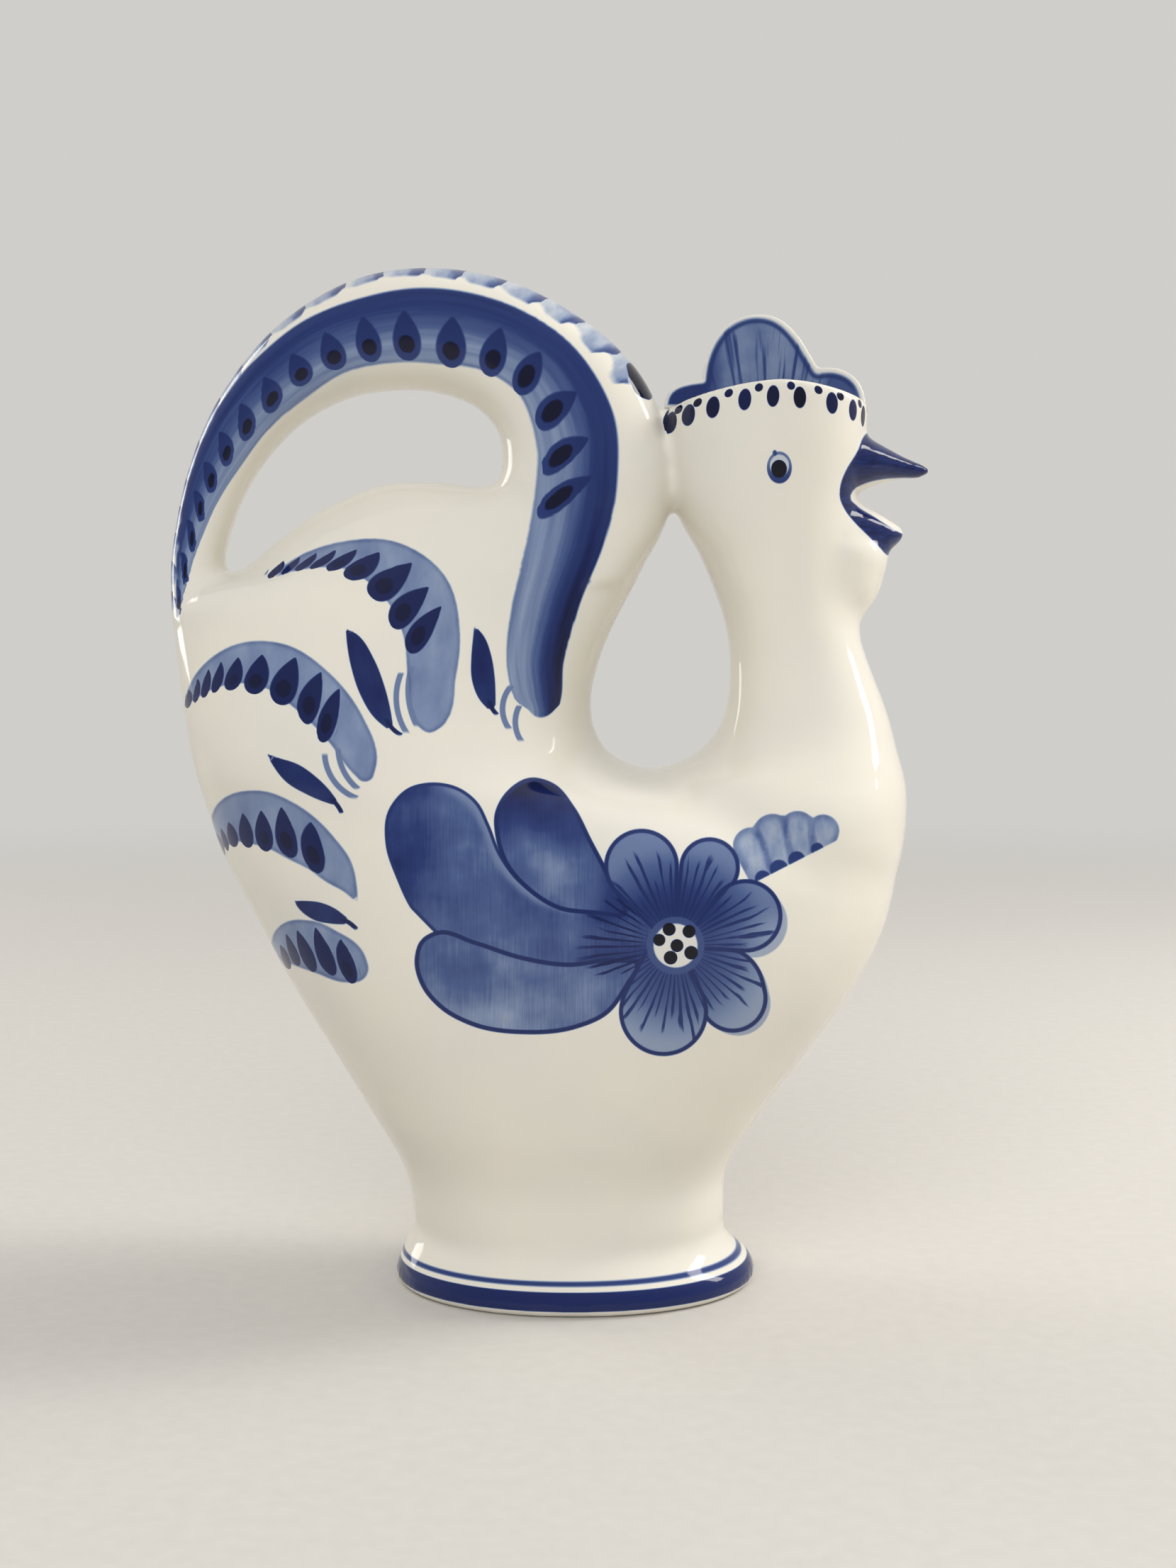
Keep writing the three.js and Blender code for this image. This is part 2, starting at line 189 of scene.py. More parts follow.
MEETINGS = [(45, 108, 50, 1), (64, RIM - 42, 22, 1), (-18, 190, 26, 0.3), (-86, 176, 14, 0.2)]
BREAST = [(72, 98, 36, 1)]

# Camera of the photograph, in the part's frame, and its picture

PICTURE = (1659, 2212)
LENS = 50
SENSOR = 36  # along the picture's long side
CAMERA_PITCH = math.radians(4.17)  # downwards
CAMERA_AT = ((3.2 + FOOT_MIDDLE) * MM, -0.541, 0.164)

# Drawing of the ornament, in pixels
# Strips: number, a point on the first guide line, a point on the second

TAIL_BAND = [
    (0, 252, 868, 249, 858), (1, 267, 808, 243, 787), (2, 285, 757, 249, 736), (3, 308, 706, 262, 675),
    (4, 341, 655, 283, 619), (5, 380, 604, 315, 563), (6, 426, 565, 362, 505), (7, 487, 525, 440, 446),
    (8, 558, 511, 548, 411), (9, 620, 513, 642, 409), (10, 681, 522, 737, 438), (11, 734, 558, 815, 495),
    (12, 757, 624, 866, 585), (13, 757, 680, 871, 680), (14, 745, 757, 853, 765), (15, 722, 859, 816, 859),
    (16, 715, 925, 796, 930), (17, 722, 974, 793, 974), (18, 738, 1001, 788, 1004),
]
# The ridge has the tail's half depth there as well, in millimetres
SPINE = [
    (-3, 256, 868, 242, 870, 11.5), (-2, 252, 826, 239, 827, 10.4), (0, 252, 745, 240, 745, 9.3),
    (2, 266, 664, 254, 650, 10), (4, 320, 556, 304, 545, 12),
    (6, 398, 468, 386, 455, 14.5), (8, 500, 407, 494, 394, 16), (9, 556, 391, 554, 378, 16.4),
    (10, 616, 391, 618, 376, 16.8), (11, 668, 400, 671, 384, 17), (12, 722, 416, 730, 400, 17.2),
    (13, 775, 444, 788, 424, 17.4), (14, 822, 478, 840, 462, 17.6), (15, 860, 527, 884, 510, 18),
    (16, 886, 572, 918, 560, 18.4),
]
SPINE_SHARE = 0.82  # of the half depth that the ridge's strokes take up
# Rows of drops: number of the drop, its round end, its tip
TAIL_ROW = 100  # added to the numbers of the tail's drops
TAIL_DROPS = [
    (0, 253, 864, 249, 828), (2, 274, 772, 264, 734), (4, 303, 690, 287, 652), (6, 353, 618, 339, 569),
    (8, 432, 542, 411, 499), (10, 526, 511, 511, 446), (11, 575, 509, 570, 437), (12, 635, 519, 639, 446),
    (13, 689, 531, 707, 462), (14, 728, 554, 763, 496), (15, 756, 598, 814, 553), (16, 764, 660, 831, 618),
    (17, 757, 722, 836, 672),
]
FEATHER_DROPS = [
    [(0, 382, 815, 400, 792), (2, 420, 805, 446, 781), (4, 464, 805, 503, 775), (5, 489, 816, 535, 779),
     (6, 523, 842, 581, 794), (7, 551, 882, 605, 828), (8, 574, 917, 623, 855)],
    [(0, 266, 998, 266, 974), (2, 288, 984, 294, 944), (4, 324, 974, 336, 927), (5, 355, 979, 370, 923),
     (6, 391, 993, 417, 927), (7, 428, 1019, 453, 948), (8, 451, 1045, 479, 971)],
    [(0, 317, 1207, 304, 1174), (2, 331, 1195, 322, 1160), (3, 350, 1196, 342, 1147),
     (4, 374, 1201, 368, 1143), (5, 407, 1209, 397, 1138), (6, 443, 1230, 439, 1159)],
    [(0, 409, 1367, 395, 1333), (1, 420, 1362, 403, 1317), (2, 441, 1371, 419, 1312),
     (3, 468, 1376, 445, 1308), (4, 495, 1387, 481, 1325)],
]

# Brush strokes: places and half widths along each
FEATHERS = [
    [(381, 814, 2), (430, 792, 11), (489, 783, 20), (549, 799, 36), (592, 838, 44), (609, 893, 40),
     (609, 955, 34), (607, 1008, 24), (606, 1022, 12)],
    [(266, 986, 6), (289, 960, 16), (340, 936, 28), (391, 941, 34), (441, 975, 35), (487, 1028, 30),
     (510, 1072, 22), (515, 1090, 13)],
    [(312, 1188, 9), (331, 1155, 32), (361, 1153, 38), (395, 1164, 37), (423, 1181, 35), (451, 1202, 29),
     (473, 1224, 24), (490, 1246, 13), (502, 1268, 3)],
    [(404, 1350, 9), (411, 1330, 28), (432, 1332, 34), (460, 1343, 33), (487, 1357, 29), (500, 1366, 20)],
]
LEAVES = [
    [(489, 888, 1), (498, 902, 9), (512, 937, 17), (525, 973, 18), (538, 1004, 13), (548, 1022, 6)],
    [(378, 1065, 1), (391, 1076, 7), (414, 1092, 15), (437, 1107, 14), (456, 1120, 10), (470, 1130, 5)],
    [(416, 1272, 1), (430, 1279, 8), (449, 1286, 13), (468, 1292, 11), (484, 1298, 6)],
    [(670, 884, 1), (676, 904, 9), (679, 927, 14), (682, 958, 16), (687, 981, 12), (692, 994, 7)],
]
# Thin ends of the leaves: three places along each arc
LEAF_ENDS = [
    [(545, 1014), (553, 1027), (566, 1037)],
    [(466, 1126), (475, 1135), (482, 1147)],
    [(482, 1296), (493, 1302), (503, 1311)],
    [(690, 988), (694, 999), (701, 1008)],
]
LEAF_END_HALF = 3
SPINE_END = [(888, 516, 4), (897, 532, 9), (907, 550, 10), (915, 559, 5)]
# Thin brush lines: three places along each arc
THIN_STROKES = [
    [(566, 949), (560, 998), (573, 1033)],
    [(581, 940), (577, 990), (588, 1024)],
    [(458, 1064), (470, 1100), (503, 1126)],
    [(477, 1056), (484, 1086), (505, 1113)],
    [(722, 967), (709, 997), (718, 1028)],
    [(733, 995), (727, 1021), (735, 1045)],
]
THIN_HALF = 4
FRONT_PETALS = [
    [(937, 1302, 16), (905, 1222, 50)],
    [(990, 1322, 16), (1052, 1292, 49)],
    [(935, 1362, 30), (936, 1427, 60)],
]
BACK_PETALS = [
    [(968, 1300, 14), (1001, 1224, 40)],
    [(985, 1350, 16), (1030, 1388, 44), (1034, 1408, 46)],
]
PETAL_SHADOWS = [
    [(1000, 1330, 16), (1062, 1302, 49)],
    [(991, 1356, 16), (1037, 1395, 44), (1041, 1415, 46)],
]
LOBES = [
    [(1060, 1193, 26), (1075, 1238, 18)],
    [(1090, 1176, 28), (1102, 1224, 18)],
    [(1125, 1170, 26), (1131, 1210, 18)],
    [(1161, 1172, 23), (1161, 1188, 17)],
]
LOBE_FOOT = ((1066, 1244), (1162, 1195))  # the straight lower edge of all four

# Outlines, each closed by a smooth curve
WING_BACK = [
    (616, 1318), (585, 1286), (562, 1240), (546, 1190), (549, 1146), (576, 1114), (613, 1106), (648, 1114),
    (672, 1133), (688, 1164), (704, 1204), (735, 1245), (800, 1276), (866, 1264), (925, 1272), (945, 1335),
    (920, 1368), (860, 1378), (760, 1372), (680, 1345),
]
WING_FRONT = [
    [(881, 1290), (835, 1287), (790, 1281), (746, 1254), (716, 1220), (702, 1180), (701, 1148), (714, 1122),
     (748, 1100), (780, 1108), (808, 1140), (832, 1186), (858, 1236)],
    [(900, 1358), (870, 1354), (800, 1361), (735, 1351), (670, 1330), (617, 1316), (596, 1328), (588, 1352),
     (597, 1390), (622, 1420), (668, 1445), (740, 1456), (810, 1449), (856, 1428), (884, 1390)],
]
BEAK_PAINT = [
    (1222, 612), (1208, 640), (1193, 665), (1186, 684), (1185, 702), (1192, 719), (1206, 737), (1224, 755),
    (1242, 773), (1252, 783), (1266, 772), (1276, 757), (1262, 748), (1234, 730), (1208, 713), (1199, 703),
    (1204, 691), (1220, 682), (1244, 676), (1272, 674), (1300, 673), (1316, 664), (1310, 652), (1280, 634),
]

# Spots: places and radii
FLOWER = (953, 1334)
FLOWER_DISC = 31
FLOWER_RING = 41
FLOWER_DOTS = [
    (944, 1311, 9), (972, 1314, 9), (930, 1326, 8.5), (955, 1334, 9), (975, 1344, 9.5), (946, 1351, 9.5),
]
FLOWER_VEINS = 54  # round the flower
VEIN_ENDS = (66, 190)  # their ends' least and most distance from its middle
LOBE_DOTS = [(1076, 1239, 11), (1099, 1226, 13), (1124, 1213, 12), (1153, 1198, 9)]
EYE = (1099.5, 659.5)
EYE_RING = 17.6  # outer radius
EYE_LINE = 3.4  # width of the ring's upper part
PUPIL_AT = (1099, 661.5)
PUPIL = 11
EYE_SHADE = (EYE[1] - 10, EYE[1] + 17)  # heights between which the ring gets thick
EYE_TICK = (1093, 639)
TICK = 3  # its radius

# Where the washes of the wing's petals change: across, or down where the name ends with it
WING_TIP = (555, 660)
WING_EDGE = (600, 650)
WING_ROOT = (780, 880)
UPPER_TIP_DOWN = (1105, 1220)
UPPER_EDGE_DOWN = (1142, 1104)
UPPER_ROOT = (820, 880)
LOWER_DOWN = (1340, 1430)

# Bare middle of the back, where it starts and where it is full: aside in millimetres, then in pixels
BACK_ASIDE = (13, 7)
BACK_ACROSS = (480, 460)
BACK_DOWN = (866, 878)
BACK_CUT = 24  # by which the feathers get narrower there

# Half widths of the edges' softness, and what stands for a place far off the drawing
SOFT_EDGE = 1.5
LINE_SOFT = 1.2
SHARP_EDGE = 0.8
FAR = 1e3
NOWHERE = (-9.0, -9.0, FAR)  # number, share and distance in a strip

# Bands and drops that go round, in millimetres
RIM_DROPS = 22  # round the mouth
# Their rows: shift along, distance below the lip, half height, half width as a share of the step
RIM_ROWS = [(0.0, 4.0, 2.45, 0.2), (0.5, 1.7, 0.95, 0.13)]
DROPS_END = 0.888  # share of the way from front to back at which they end, beside the tail
NEAR_TAIL, OFF_NECK = 500, 100  # how fast the distance below the lip grows past that end, and off the neck
NARROWEST = (0.85, 0.5)  # least factors by which drops get narrower, in front and at the back
FOOT_BAND = (1.8, 6.2)  # heights
FOOT_LINE = (7.4, 8.4)

# Colours of the cobalt from none to most, in sRGB
INK = [
    (0, 236, 231, 217), (0.15, 188, 195, 204), (0.34, 128, 145, 177), (0.5, 74, 94, 142), (0.66, 38, 57, 114),
    (0.82, 17, 32, 86), (0.92, 7, 13, 50), (1, 2, 3, 18),
]

# Glaze
GLAZE_BUMP = 0.06
GLAZE_WAVES = 0.002  # their height, in metres
GLAZE_SPECULAR = 0.35
GLAZE_ROUGHNESS = (0.04, 0.1)

# Stage: colours in sRGB, sizes in metres
FLOOR_DARK = (202, 199, 194)
FLOOR_PALE = (212, 209, 204)
BACKDROP = (208, 206, 202)
BACKDROP_FRONT = 0.65  # its strength behind the camera
BACKDROP_ABOVE = 1.5
SOFT_LIGHT = (0.25, 1.1)  # strengths from below and from above
FLOOR_ROUGHNESS = 0.6
FLOOR_HALF = 15
FLOOR_FADE = (0.35, 1.4)  # distances at which it starts and ends to fade into the backdrop
LAMPS_FACE = (0, 0, 0.12)
WARM = (1, 0.96, 0.91)
# Lamps: name, place, width, height, watts, colour, mirrored in the glaze or not
LAMPS = [
    ("key", (1.0, 0.25, 0.7), 0.6, 0.8, 7.4, WARM, False),
    ("glint", (0.8, 0.15, 0.62), 0.17, 0.4, 2, WARM, True),
    ("rim", (-0.9, 0.6, 0.5), 0.3, 0.8, 3, (1, 0.97, 0.93), True),
    ("front", (-0.2, -1.6, 1.1), 1.4, 1.4, 19, (0.97, 0.98, 1), False),
]


# Curves and surfaces


def smooth(stations, places):
    """Smooth values at the given places along stations, whose first column is the place of each."""
    table = np.array(stations, float)
    x, y = table[:, 0], table[:, 1:]
    slope = np.gradient(y, x, axis=0)
    k = np.clip(np.searchsorted(x, places, side="right") - 1, 0, len(x) - 2)
    step = (x[k + 1] - x[k])[:, None]
    t = np.clip((places - x[k])[:, None] / step, 0, 1)
    start = (1 + 2 * t) * (1 - t) ** 2 * y[k] + t * (1 - t) ** 2 * step * slope[k]
    end = t * t * (3 - 2 * t) * y[k + 1] + t * t * (t - 1) * step * slope[k + 1]
    return start + end


def along_path(points, count):
    """Smooth values along a list of points, evenly spaced by its length."""
    points = np.array(points, float)
    length = np.concatenate([[0], np.cumsum(np.linalg.norm(np.diff(points[:, :2], axis=0), axis=1))])
    return smooth(np.column_stack([length, points]), np.linspace(0, length[-1], count))


def shell(points):
    """Vertices and faces of a closed skin over rings of points."""
    count, sides = points.shape[:2]
    vertices = np.vstack([points.reshape(-1, 3), points[0].mean(0), points[-1].mean(0)])
    i = np.arange(sides)
    after = (i + 1) % sides
    faces = []
    for k in range(count - 1):
        low, high = k * sides, (k + 1) * sides
        faces += np.column_stack([low + i, low + after, high + after, high + i]).tolist()
    first, last = count * sides, (count - 1) * sides
    faces += np.column_stack([np.full(sides, first), after, i]).tolist()
    faces += np.column_stack([np.full(sides, first + 1), last + i, last + after]).tolist()
    return vertices, faces


def prism(outline, low, high, axis):
    """A closed prism between two places along an axis, over a convex or simple outline in the other two."""
    outline = np.array(outline, float)
    ends = [np.insert(outline, axis, place, axis=1) for place in (low, high)]
    count = len(outline)
    faces = [list(range(count))[::-1], list(range(count, 2 * count))]
    faces += [[i, (i + 1) % count, count + (i + 1) % count, count + i] for i in range(count)]
    return np.vstack(ends), faces


def ovals(start, end, depth, sides, power=OVAL, grow=0):
    """A closed skin over rounded ovals between points of the middle plane, each with a half depth."""
    middle, half = (start + end) / 2, (end - start) / 2
    half = half * (1 + grow / np.linalg.norm(half, axis=1, keepdims=True))
    angle = np.linspace(0, 2 * math.pi, sides, endpoint=False)
    forward, aside = (np.sign(f) * np.abs(f) ** (2 / power) for f in (np.cos(angle), np.sin(angle)))
    points = np.empty((len(start), sides, 3))
    points[..., 0] = middle[:, :1] + half[:, :1] * forward
    points[..., 1] = (depth + grow)[:, None] * aside
    points[..., 2] = middle[:, 1:] + half[:, 1:] * forward
    return shell(points)


def out_of_oval(x, y, back, front, depth, grow=0):
    """How far out places lie in rounded ovals: less than 1 inside, 1 at the edge."""
    forward = np.abs(2 * x - back - front) / (front - back + 2 * grow)
    aside = np.abs(y) / (depth + grow)
    return forward**OVAL + aside**OVAL


def upright(stations, count, sides, low=None, high=None, base=0, **options):
    """A skin over ovals at even heights through stations of height, back edge, front edge and half depth."""
    low = stations[0][0] if low is None else low
    high = stations[-1][0] if high is None else high
    z = np.linspace(low, high, count)
    back, front, depth = smooth(stations, z).T
    start, end = (np.column_stack([edge, z + base]) for edge in (back, front))
    return ovals(start, end, depth, sides, **options)


def hollow(stations, count, sides, low, high):
    """The space inside stations that keeps the wall beside, above and below it."""
    z = np.linspace(low, high, count)
    ends = stations[0][0], stations[-1][0]
    near = np.array([smooth(stations, np.clip(z + shift, *ends)) for shift in (-WALL, 0, WALL)])
    back = near[..., 0].max(axis=0) + WALL
    front, depth = (near[..., i].min(axis=0) - WALL for i in (1, 2))
    return ovals(np.column_stack([back, z]), np.column_stack([front, z]), depth, sides)


def beak(stations, count=40, sides=48):
    """Half a beak, from its root to its tip."""
    x = np.linspace(stations[0][0], stations[-1][0], count)
    low, high, depth = smooth(stations, x).T
    return ovals(np.column_stack([x, RIM + high]), np.column_stack([x, RIM + low]), depth, sides, BEAK_OVAL)


def tail(count=200, sides=64):
    """The arched tail."""
    outer_x, outer, inner_x, inner, depth = smooth(TAIL, np.linspace(0, TAIL[-1][0], count)).T
    rise = TOP - TAIL_ROOT
    start = np.column_stack([outer_x, TAIL_ROOT + outer * rise])
    end = np.column_stack([inner_x, TAIL_ROOT + inner * rise])
    return ovals(start, end, depth, sides, TAIL_OVAL)


# Objects


def in_frame(points):
    """Points in millimetres from the middle of the foot, moved into the part's frame."""
    return (points + (FOOT_MIDDLE, 0, 0)) * MM


def from_foot(points):
    """Points of the part's frame, in millimetres from the middle of the foot."""
    return points / MM - (FOOT_MIDDLE, 0, 0)


def numbers_of(items, name, width, kind=float):
    """A value of each of a mesh's items, as an array with rows of the given width."""
    values = np.empty(len(items) * width, kind)
    items.foreach_get(name, values)
    return values.reshape(-1, width)


def points_of(mesh):
    """A mesh's vertices as an array in metres."""
    return numbers_of(mesh.vertices, "co", 3)


def move_to(mesh, points):
    """Moves a mesh's vertices to places in metres."""
    mesh.vertices.foreach_set("co", points.ravel())
    mesh.update()


def placed(name, data):
    """A new object of the scene."""
    thing = bpy.data.objects.new(name, data)
    bpy.context.scene.collection.objects.link(thing)
    return thing


def solid(name, *shells):
    """An object of one or more closed shells, moved into the part's frame."""
    vertices, faces = [], []
    for points, polygons in shells:
        first = len(vertices)
        vertices += in_frame(points).tolist()
        faces += [[first + i for i in polygon] for polygon in polygons]
    mesh = bpy.data.meshes.new(name)
    mesh.from_pydata(vertices, [], faces)
    return placed(name, mesh)


def pieces_of(thing):
    """Vertices and faces of an object, as solid takes them; the object goes."""
    points = from_foot(points_of(thing.data))
    faces = [list(polygon.vertices) for polygon in thing.data.polygons]
    bpy.data.objects.remove(thing)
    return points, faces


def applied(thing):
    """Makes an object's modifiers part of its mesh."""
    bpy.context.view_layer.update()
    graph = bpy.context.evaluated_depsgraph_get()
    old, thing.data = thing.data, bpy.data.meshes.new_from_object(thing.evaluated_get(graph))
    thing.modifiers.clear()
    bpy.data.meshes.remove(old)


def cut(thing, tool):
    """Takes a closed tool away from a closed object."""
    change = thing.modifiers.new("cut", "BOOLEAN")
    change.operation = "DIFFERENCE"
    change.solver = "MANIFOLD"
    change.object = tool
    applied(thing)
    bpy.data.objects.remove(tool)


def melted(thing, voxel, rounds):
    """Joins an object's shells into one skin and rounds it, as glaze does."""
    change = thing.modifiers.new("join", "REMESH")
    change.mode = "VOXEL"
    change.voxel_size = voxel * MM
    applied(thing)
    change = thing.modifiers.new("round", "SMOOTH")
    change.factor = 0.5
    change.iterations = rounds
    applied(thing)
    thing.data.shade_smooth()
    return thing


def filled(thing, places, rounds):
    """Fills creases where forms meet, near places of the middle plane with a reach and a strength each."""
    mesh = thing.data
    points = points_of(mesh) / MM
    weight = np.zeros(len(points))
    for x, z, reach, strength in places:
        away = np.hypot(points[:, 0] - FOOT_MIDDLE - x, points[:, 2] - z) / reach
        weight = np.maximum(weight, strength * np.clip(2 - 2 * away, 0, 1))
    normals = numbers_of(mesh.vertices, "normal", 3)
    ends = numbers_of(mesh.edges, "vertices", 2, int)
    one, other = np.vstack([ends, ends[:, ::-1]]).T
    neighbours = np.bincount(one)
    for _ in range(rounds):
        middle = np.column_stack([np.bincount(one, points[other, i]) for i in range(3)]) / neighbours[:, None]
        outwards = ((middle - points) * normals).sum(1).clip(0)
        points += (CREASE_FILL * weight * outwards)[:, None] * normals
    move_to(mesh, points * MM)


def set_field(mesh, name, *columns):
    """Keeps up to three numbers for each vertex, for the materials to read."""
    values = np.zeros((len(mesh.vertices), 3))
    for i, column in enumerate(columns):
        values[:, i] = column
    mesh.attributes.new(name, "FLOAT_VECTOR", "POINT").data.foreach_set("vector", values.ravel())


# Forms of the body


def lip(forward):
    """Height of the lip, which falls from its highest place to the front and the back."""
    off = np.abs((forward - MOUTH_MIDDLE) / MOUTH_HALF - LIP_PEAK)
    return RIM + RIM_RISE * (1 - off**LIP_CURVE)


def head():
    """Neck and head with the mouth open, its sides higher than its front and back."""
    past, above, aside = 5, 40, 60  # how far the cut along the lip goes beyond the head
    form = solid("head", upright(NECK, 170, 128))
    forward = np.linspace(MOUTH_FRONT + past, MOUTH_BACK - past, 121)
    corners = [(forward[-1], RIM + above), (forward[0], RIM + above)]
    outline = np.vstack([np.column_stack([forward, lip(forward)]), corners])
    cut(form, solid("above_lip", prism(outline, -aside, aside, 1)))
    cut(form, solid("mouth", upright(NECK, 24, 96, low=LEDGE, grow=-LIP_WALL)))
    throat = LEDGE - PLUG_DEPTH - WALL
    cut(form, solid("throat", upright(NECK, 24, 96, throat, LEDGE + 1, grow=-LEDGE_WALL)))
    return pieces_of(form)


def round_lip(mesh):
    """Gives the lip an even round top, which the steps of the skin's mesh would show through."""
    points = from_foot(points_of(mesh))
    x, y, z = points.T
    back, front, depth = smooth(NECK, np.clip(z, NECK[0][0], NECK[-1][0])).T
    oval = out_of_oval(x, y, back, front, depth) ** (1 / OVAL)
    half = LIP_WALL / 2
    off = (1 - oval) * MOUTH_HALF - half
    top = lip(x) - half + np.sqrt(np.clip(half**2 - off**2, 0, None))
    on_lip = (np.abs(off) < half + LIP_MARGIN) & (z < RIM + 2 * RIM_RISE)
    off_tail = np.clip((x - MOUTH_BACK - LIP_START) / LIP_FADE, 0, 1)
    share = np.clip(z - lip(x) + LIP_ROUND, 0, 1) * off_tail * on_lip
    points[:, 2] += share * (top - z)
    move_to(mesh, in_frame(points))


def foot():
    """Flared foot with a recess underneath."""
    form = solid("foot", upright(FOOT, 40, 128, power=FOOT_OVAL))
    cut(form, solid("recess", upright(FOOT_RECESS, 12, 96, power=FOOT_OVAL)))
    return pieces_of(form)


def glazed_body():
    """All that is fired as one: foot, belly, neck and head, tail, beak and wattle, hollow inside."""
    trunk = upright(TRUNK, 220, 160)
    lappet = upright(WATTLE, 36, 64, base=RIM)
    beaks = [beak(stations) for stations in (UPPER_BEAK, LOWER_BEAK)]
    body = solid("glazed_body", trunk, head(), tail(), foot(), lappet, *beaks)
    melted(body, BODY_VOXEL, BODY_SOFTENING)
    filled(body, MEETINGS, CREASE_ROUNDS)
    filled(body, BREAST, BREAST_ROUNDS)
    round_lip(body.data)
    cut(body, solid("belly_space", hollow(TRUNK, 40, 40, BELLY_FLOOR, TRUNK[-1][0] - 2 * WALL)))
    cut(body, solid("neck_space", hollow(NECK, 30, 36, NECK[0][0], LEDGE - PLUG_DEPTH - 1)))
    body.data.shade_smooth()
    return body


# Forms of the stopper


def stopper_lid():
    """Oval lid on the ledge, with a hollow flange below it."""
    seat = smooth(NECK, np.array([LEDGE]))[0]
    level = [(z, *seat) for z in (LEDGE, LEDGE + LID)]
    inset = LEDGE_WALL + STOPPER_FIT
    lid = upright(level, 6, 96, low=LEDGE + LID_GAP, grow=-LIP_WALL - STOPPER_FIT)
    flange = upright(NECK, 16, 96, LEDGE - PLUG_DEPTH, LEDGE + LID / 2, grow=-inset)
    plug = melted(solid("stopper_plug_glazed", lid, flange), FINE_VOXEL, FINE_SOFTENING)
    space = upright(NECK, 12, 64, LEDGE - PLUG_DEPTH - 2, LEDGE, grow=-inset - PLUG_WALL)
    cut(plug, solid("plug_space", space))
    plug.data.shade_smooth()
    return plug


def comb_outline(count=18):
    """The comb's outline, forward of its middle and above the rim, with the tongue that stands on the lid."""
    low = LEDGE + LID - COMB_SINK - RIM
    last = np.array((-COMB_END, 0.0))
    points = [last]
    t = np.linspace(0, 1, count + 1)[1:, None]
    for curve in COMB_CURVES:
        a, b, end = (np.array(curve[i : i + 2], float) for i in (0, 2, 4))
        points += list((1 - t) ** 3 * last + 3 * t * (1 - t) ** 2 * a + 3 * t * t * (1 - t) * b + t**3 * end)
        last = end
    half = COMB_TONGUE / 2
    points += [np.array(p) for p in ((half, 0), (half, low), (-half, low), (-half, 0))]
    return np.array(points)


def comb_plate():
    """The comb as a plate with rounded edges."""
    outline = comb_outline()
    form = prism(outline + (MOUTH_MIDDLE, RIM), -COMB_HALF, COMB_HALF, 1)
    plate = melted(solid("comb_glazed", form), FINE_VOXEL, FINE_SOFTENING)
    place = from_foot(points_of(plate.data))[:, ::2] - (MOUTH_MIDDLE, RIM)
    set_field(plate.data, "comb", inside_outline(place, outline), *place.T)
    return plate


# Fields of the drawing: where each vertex lies on it, and how far inside each shape


def drawing_place(points):
    """Where the photograph shows points of the near side, and the far side's mirror images, in pixels."""
    x, y, z = (np.column_stack([points[:, 0], -np.abs(points[:, 1]), points[:, 2]]) - CAMERA_AT).T
    depth = y * math.cos(CAMERA_PITCH) - z * math.sin(CAMERA_PITCH)
    height = y * math.sin(CAMERA_PITCH) + z * math.cos(CAMERA_PITCH)
    focal = LENS / SENSOR * max(PICTURE)
    return np.column_stack([PICTURE[0] / 2 + focal * x / depth, PICTURE[1] / 2 - focal * height / depth])


def near_box(place, points, margin):
    """Which places lie within a margin of a set of points."""
    return np.all((place > points.min(0) - margin) & (place < points.max(0) + margin), axis=1)


def inside_stroke(place, stroke, count=48, far=60):
    """How far each place lies inside a brush stroke of places and half widths."""
    path = along_path(stroke, count)
    depth = np.full(len(place), -float(far))
    near = near_box(place, path[:, :2], far + path[:, 2].max())
    away = np.linalg.norm(place[near][:, None] - path[:, :2], axis=2)
    depth[near] = (path[:, 2] - away).max(axis=1)
    return depth


def inside_strokes(place, strokes):
    """How far each place lies inside the nearest of several strokes."""
    return np.max([inside_stroke(place, stroke) for stroke in strokes], axis=0)


def rounded(outline, count):
    """A closed smooth line through the points of an outline, with a count of places to each."""
    ends = list(outline) + list(outline[:3])
    line = along_path(ends, count * len(ends))
    return line[count : count + count * len(outline)]


def inside_outline(place, outline, far=60):
    """How far each place lies inside a closed outline; outside it is less than nothing."""
    outline = np.array(outline, float)
    after = np.roll(outline, -1, axis=0)
    depth = np.full(len(place), -float(far))
    near = near_box(place, outline, far)
    p = place[near][:, None]
    way = after - outline
    share = np.clip(((p - outline) * way).sum(2) / (way**2).sum(1).clip(TINY), 0, 1)
    away = np.linalg.norm(p - outline - share[..., None] * way, axis=2).min(axis=1)
    above = (outline[:, 1] > p[..., 1]) != (after[:, 1] > p[..., 1])
    rise = np.where(np.abs(way[:, 1]) < TINY, TINY, way[:, 1])
    crossing = outline[:, 0] + (p[..., 1] - outline[:, 1]) * way[:, 0] / rise
    odd = (above & (p[..., 0] < crossing)).sum(axis=1) % 2 == 1
    depth[near] = np.where(odd, away, -away)
    return depth


def lengthened(stations):
    """A row's stations with half a step more at each end."""
    table = np.array(stations, float)
    steps = np.diff(table[:, 0])[[0, -1]]
    before = table[0] - (table[1] - table[0]) * 0.5 / steps[0]
    after = table[-1] + (table[-1] - table[-2]) * 0.5 / steps[1]
    return np.vstack([before, table, after])


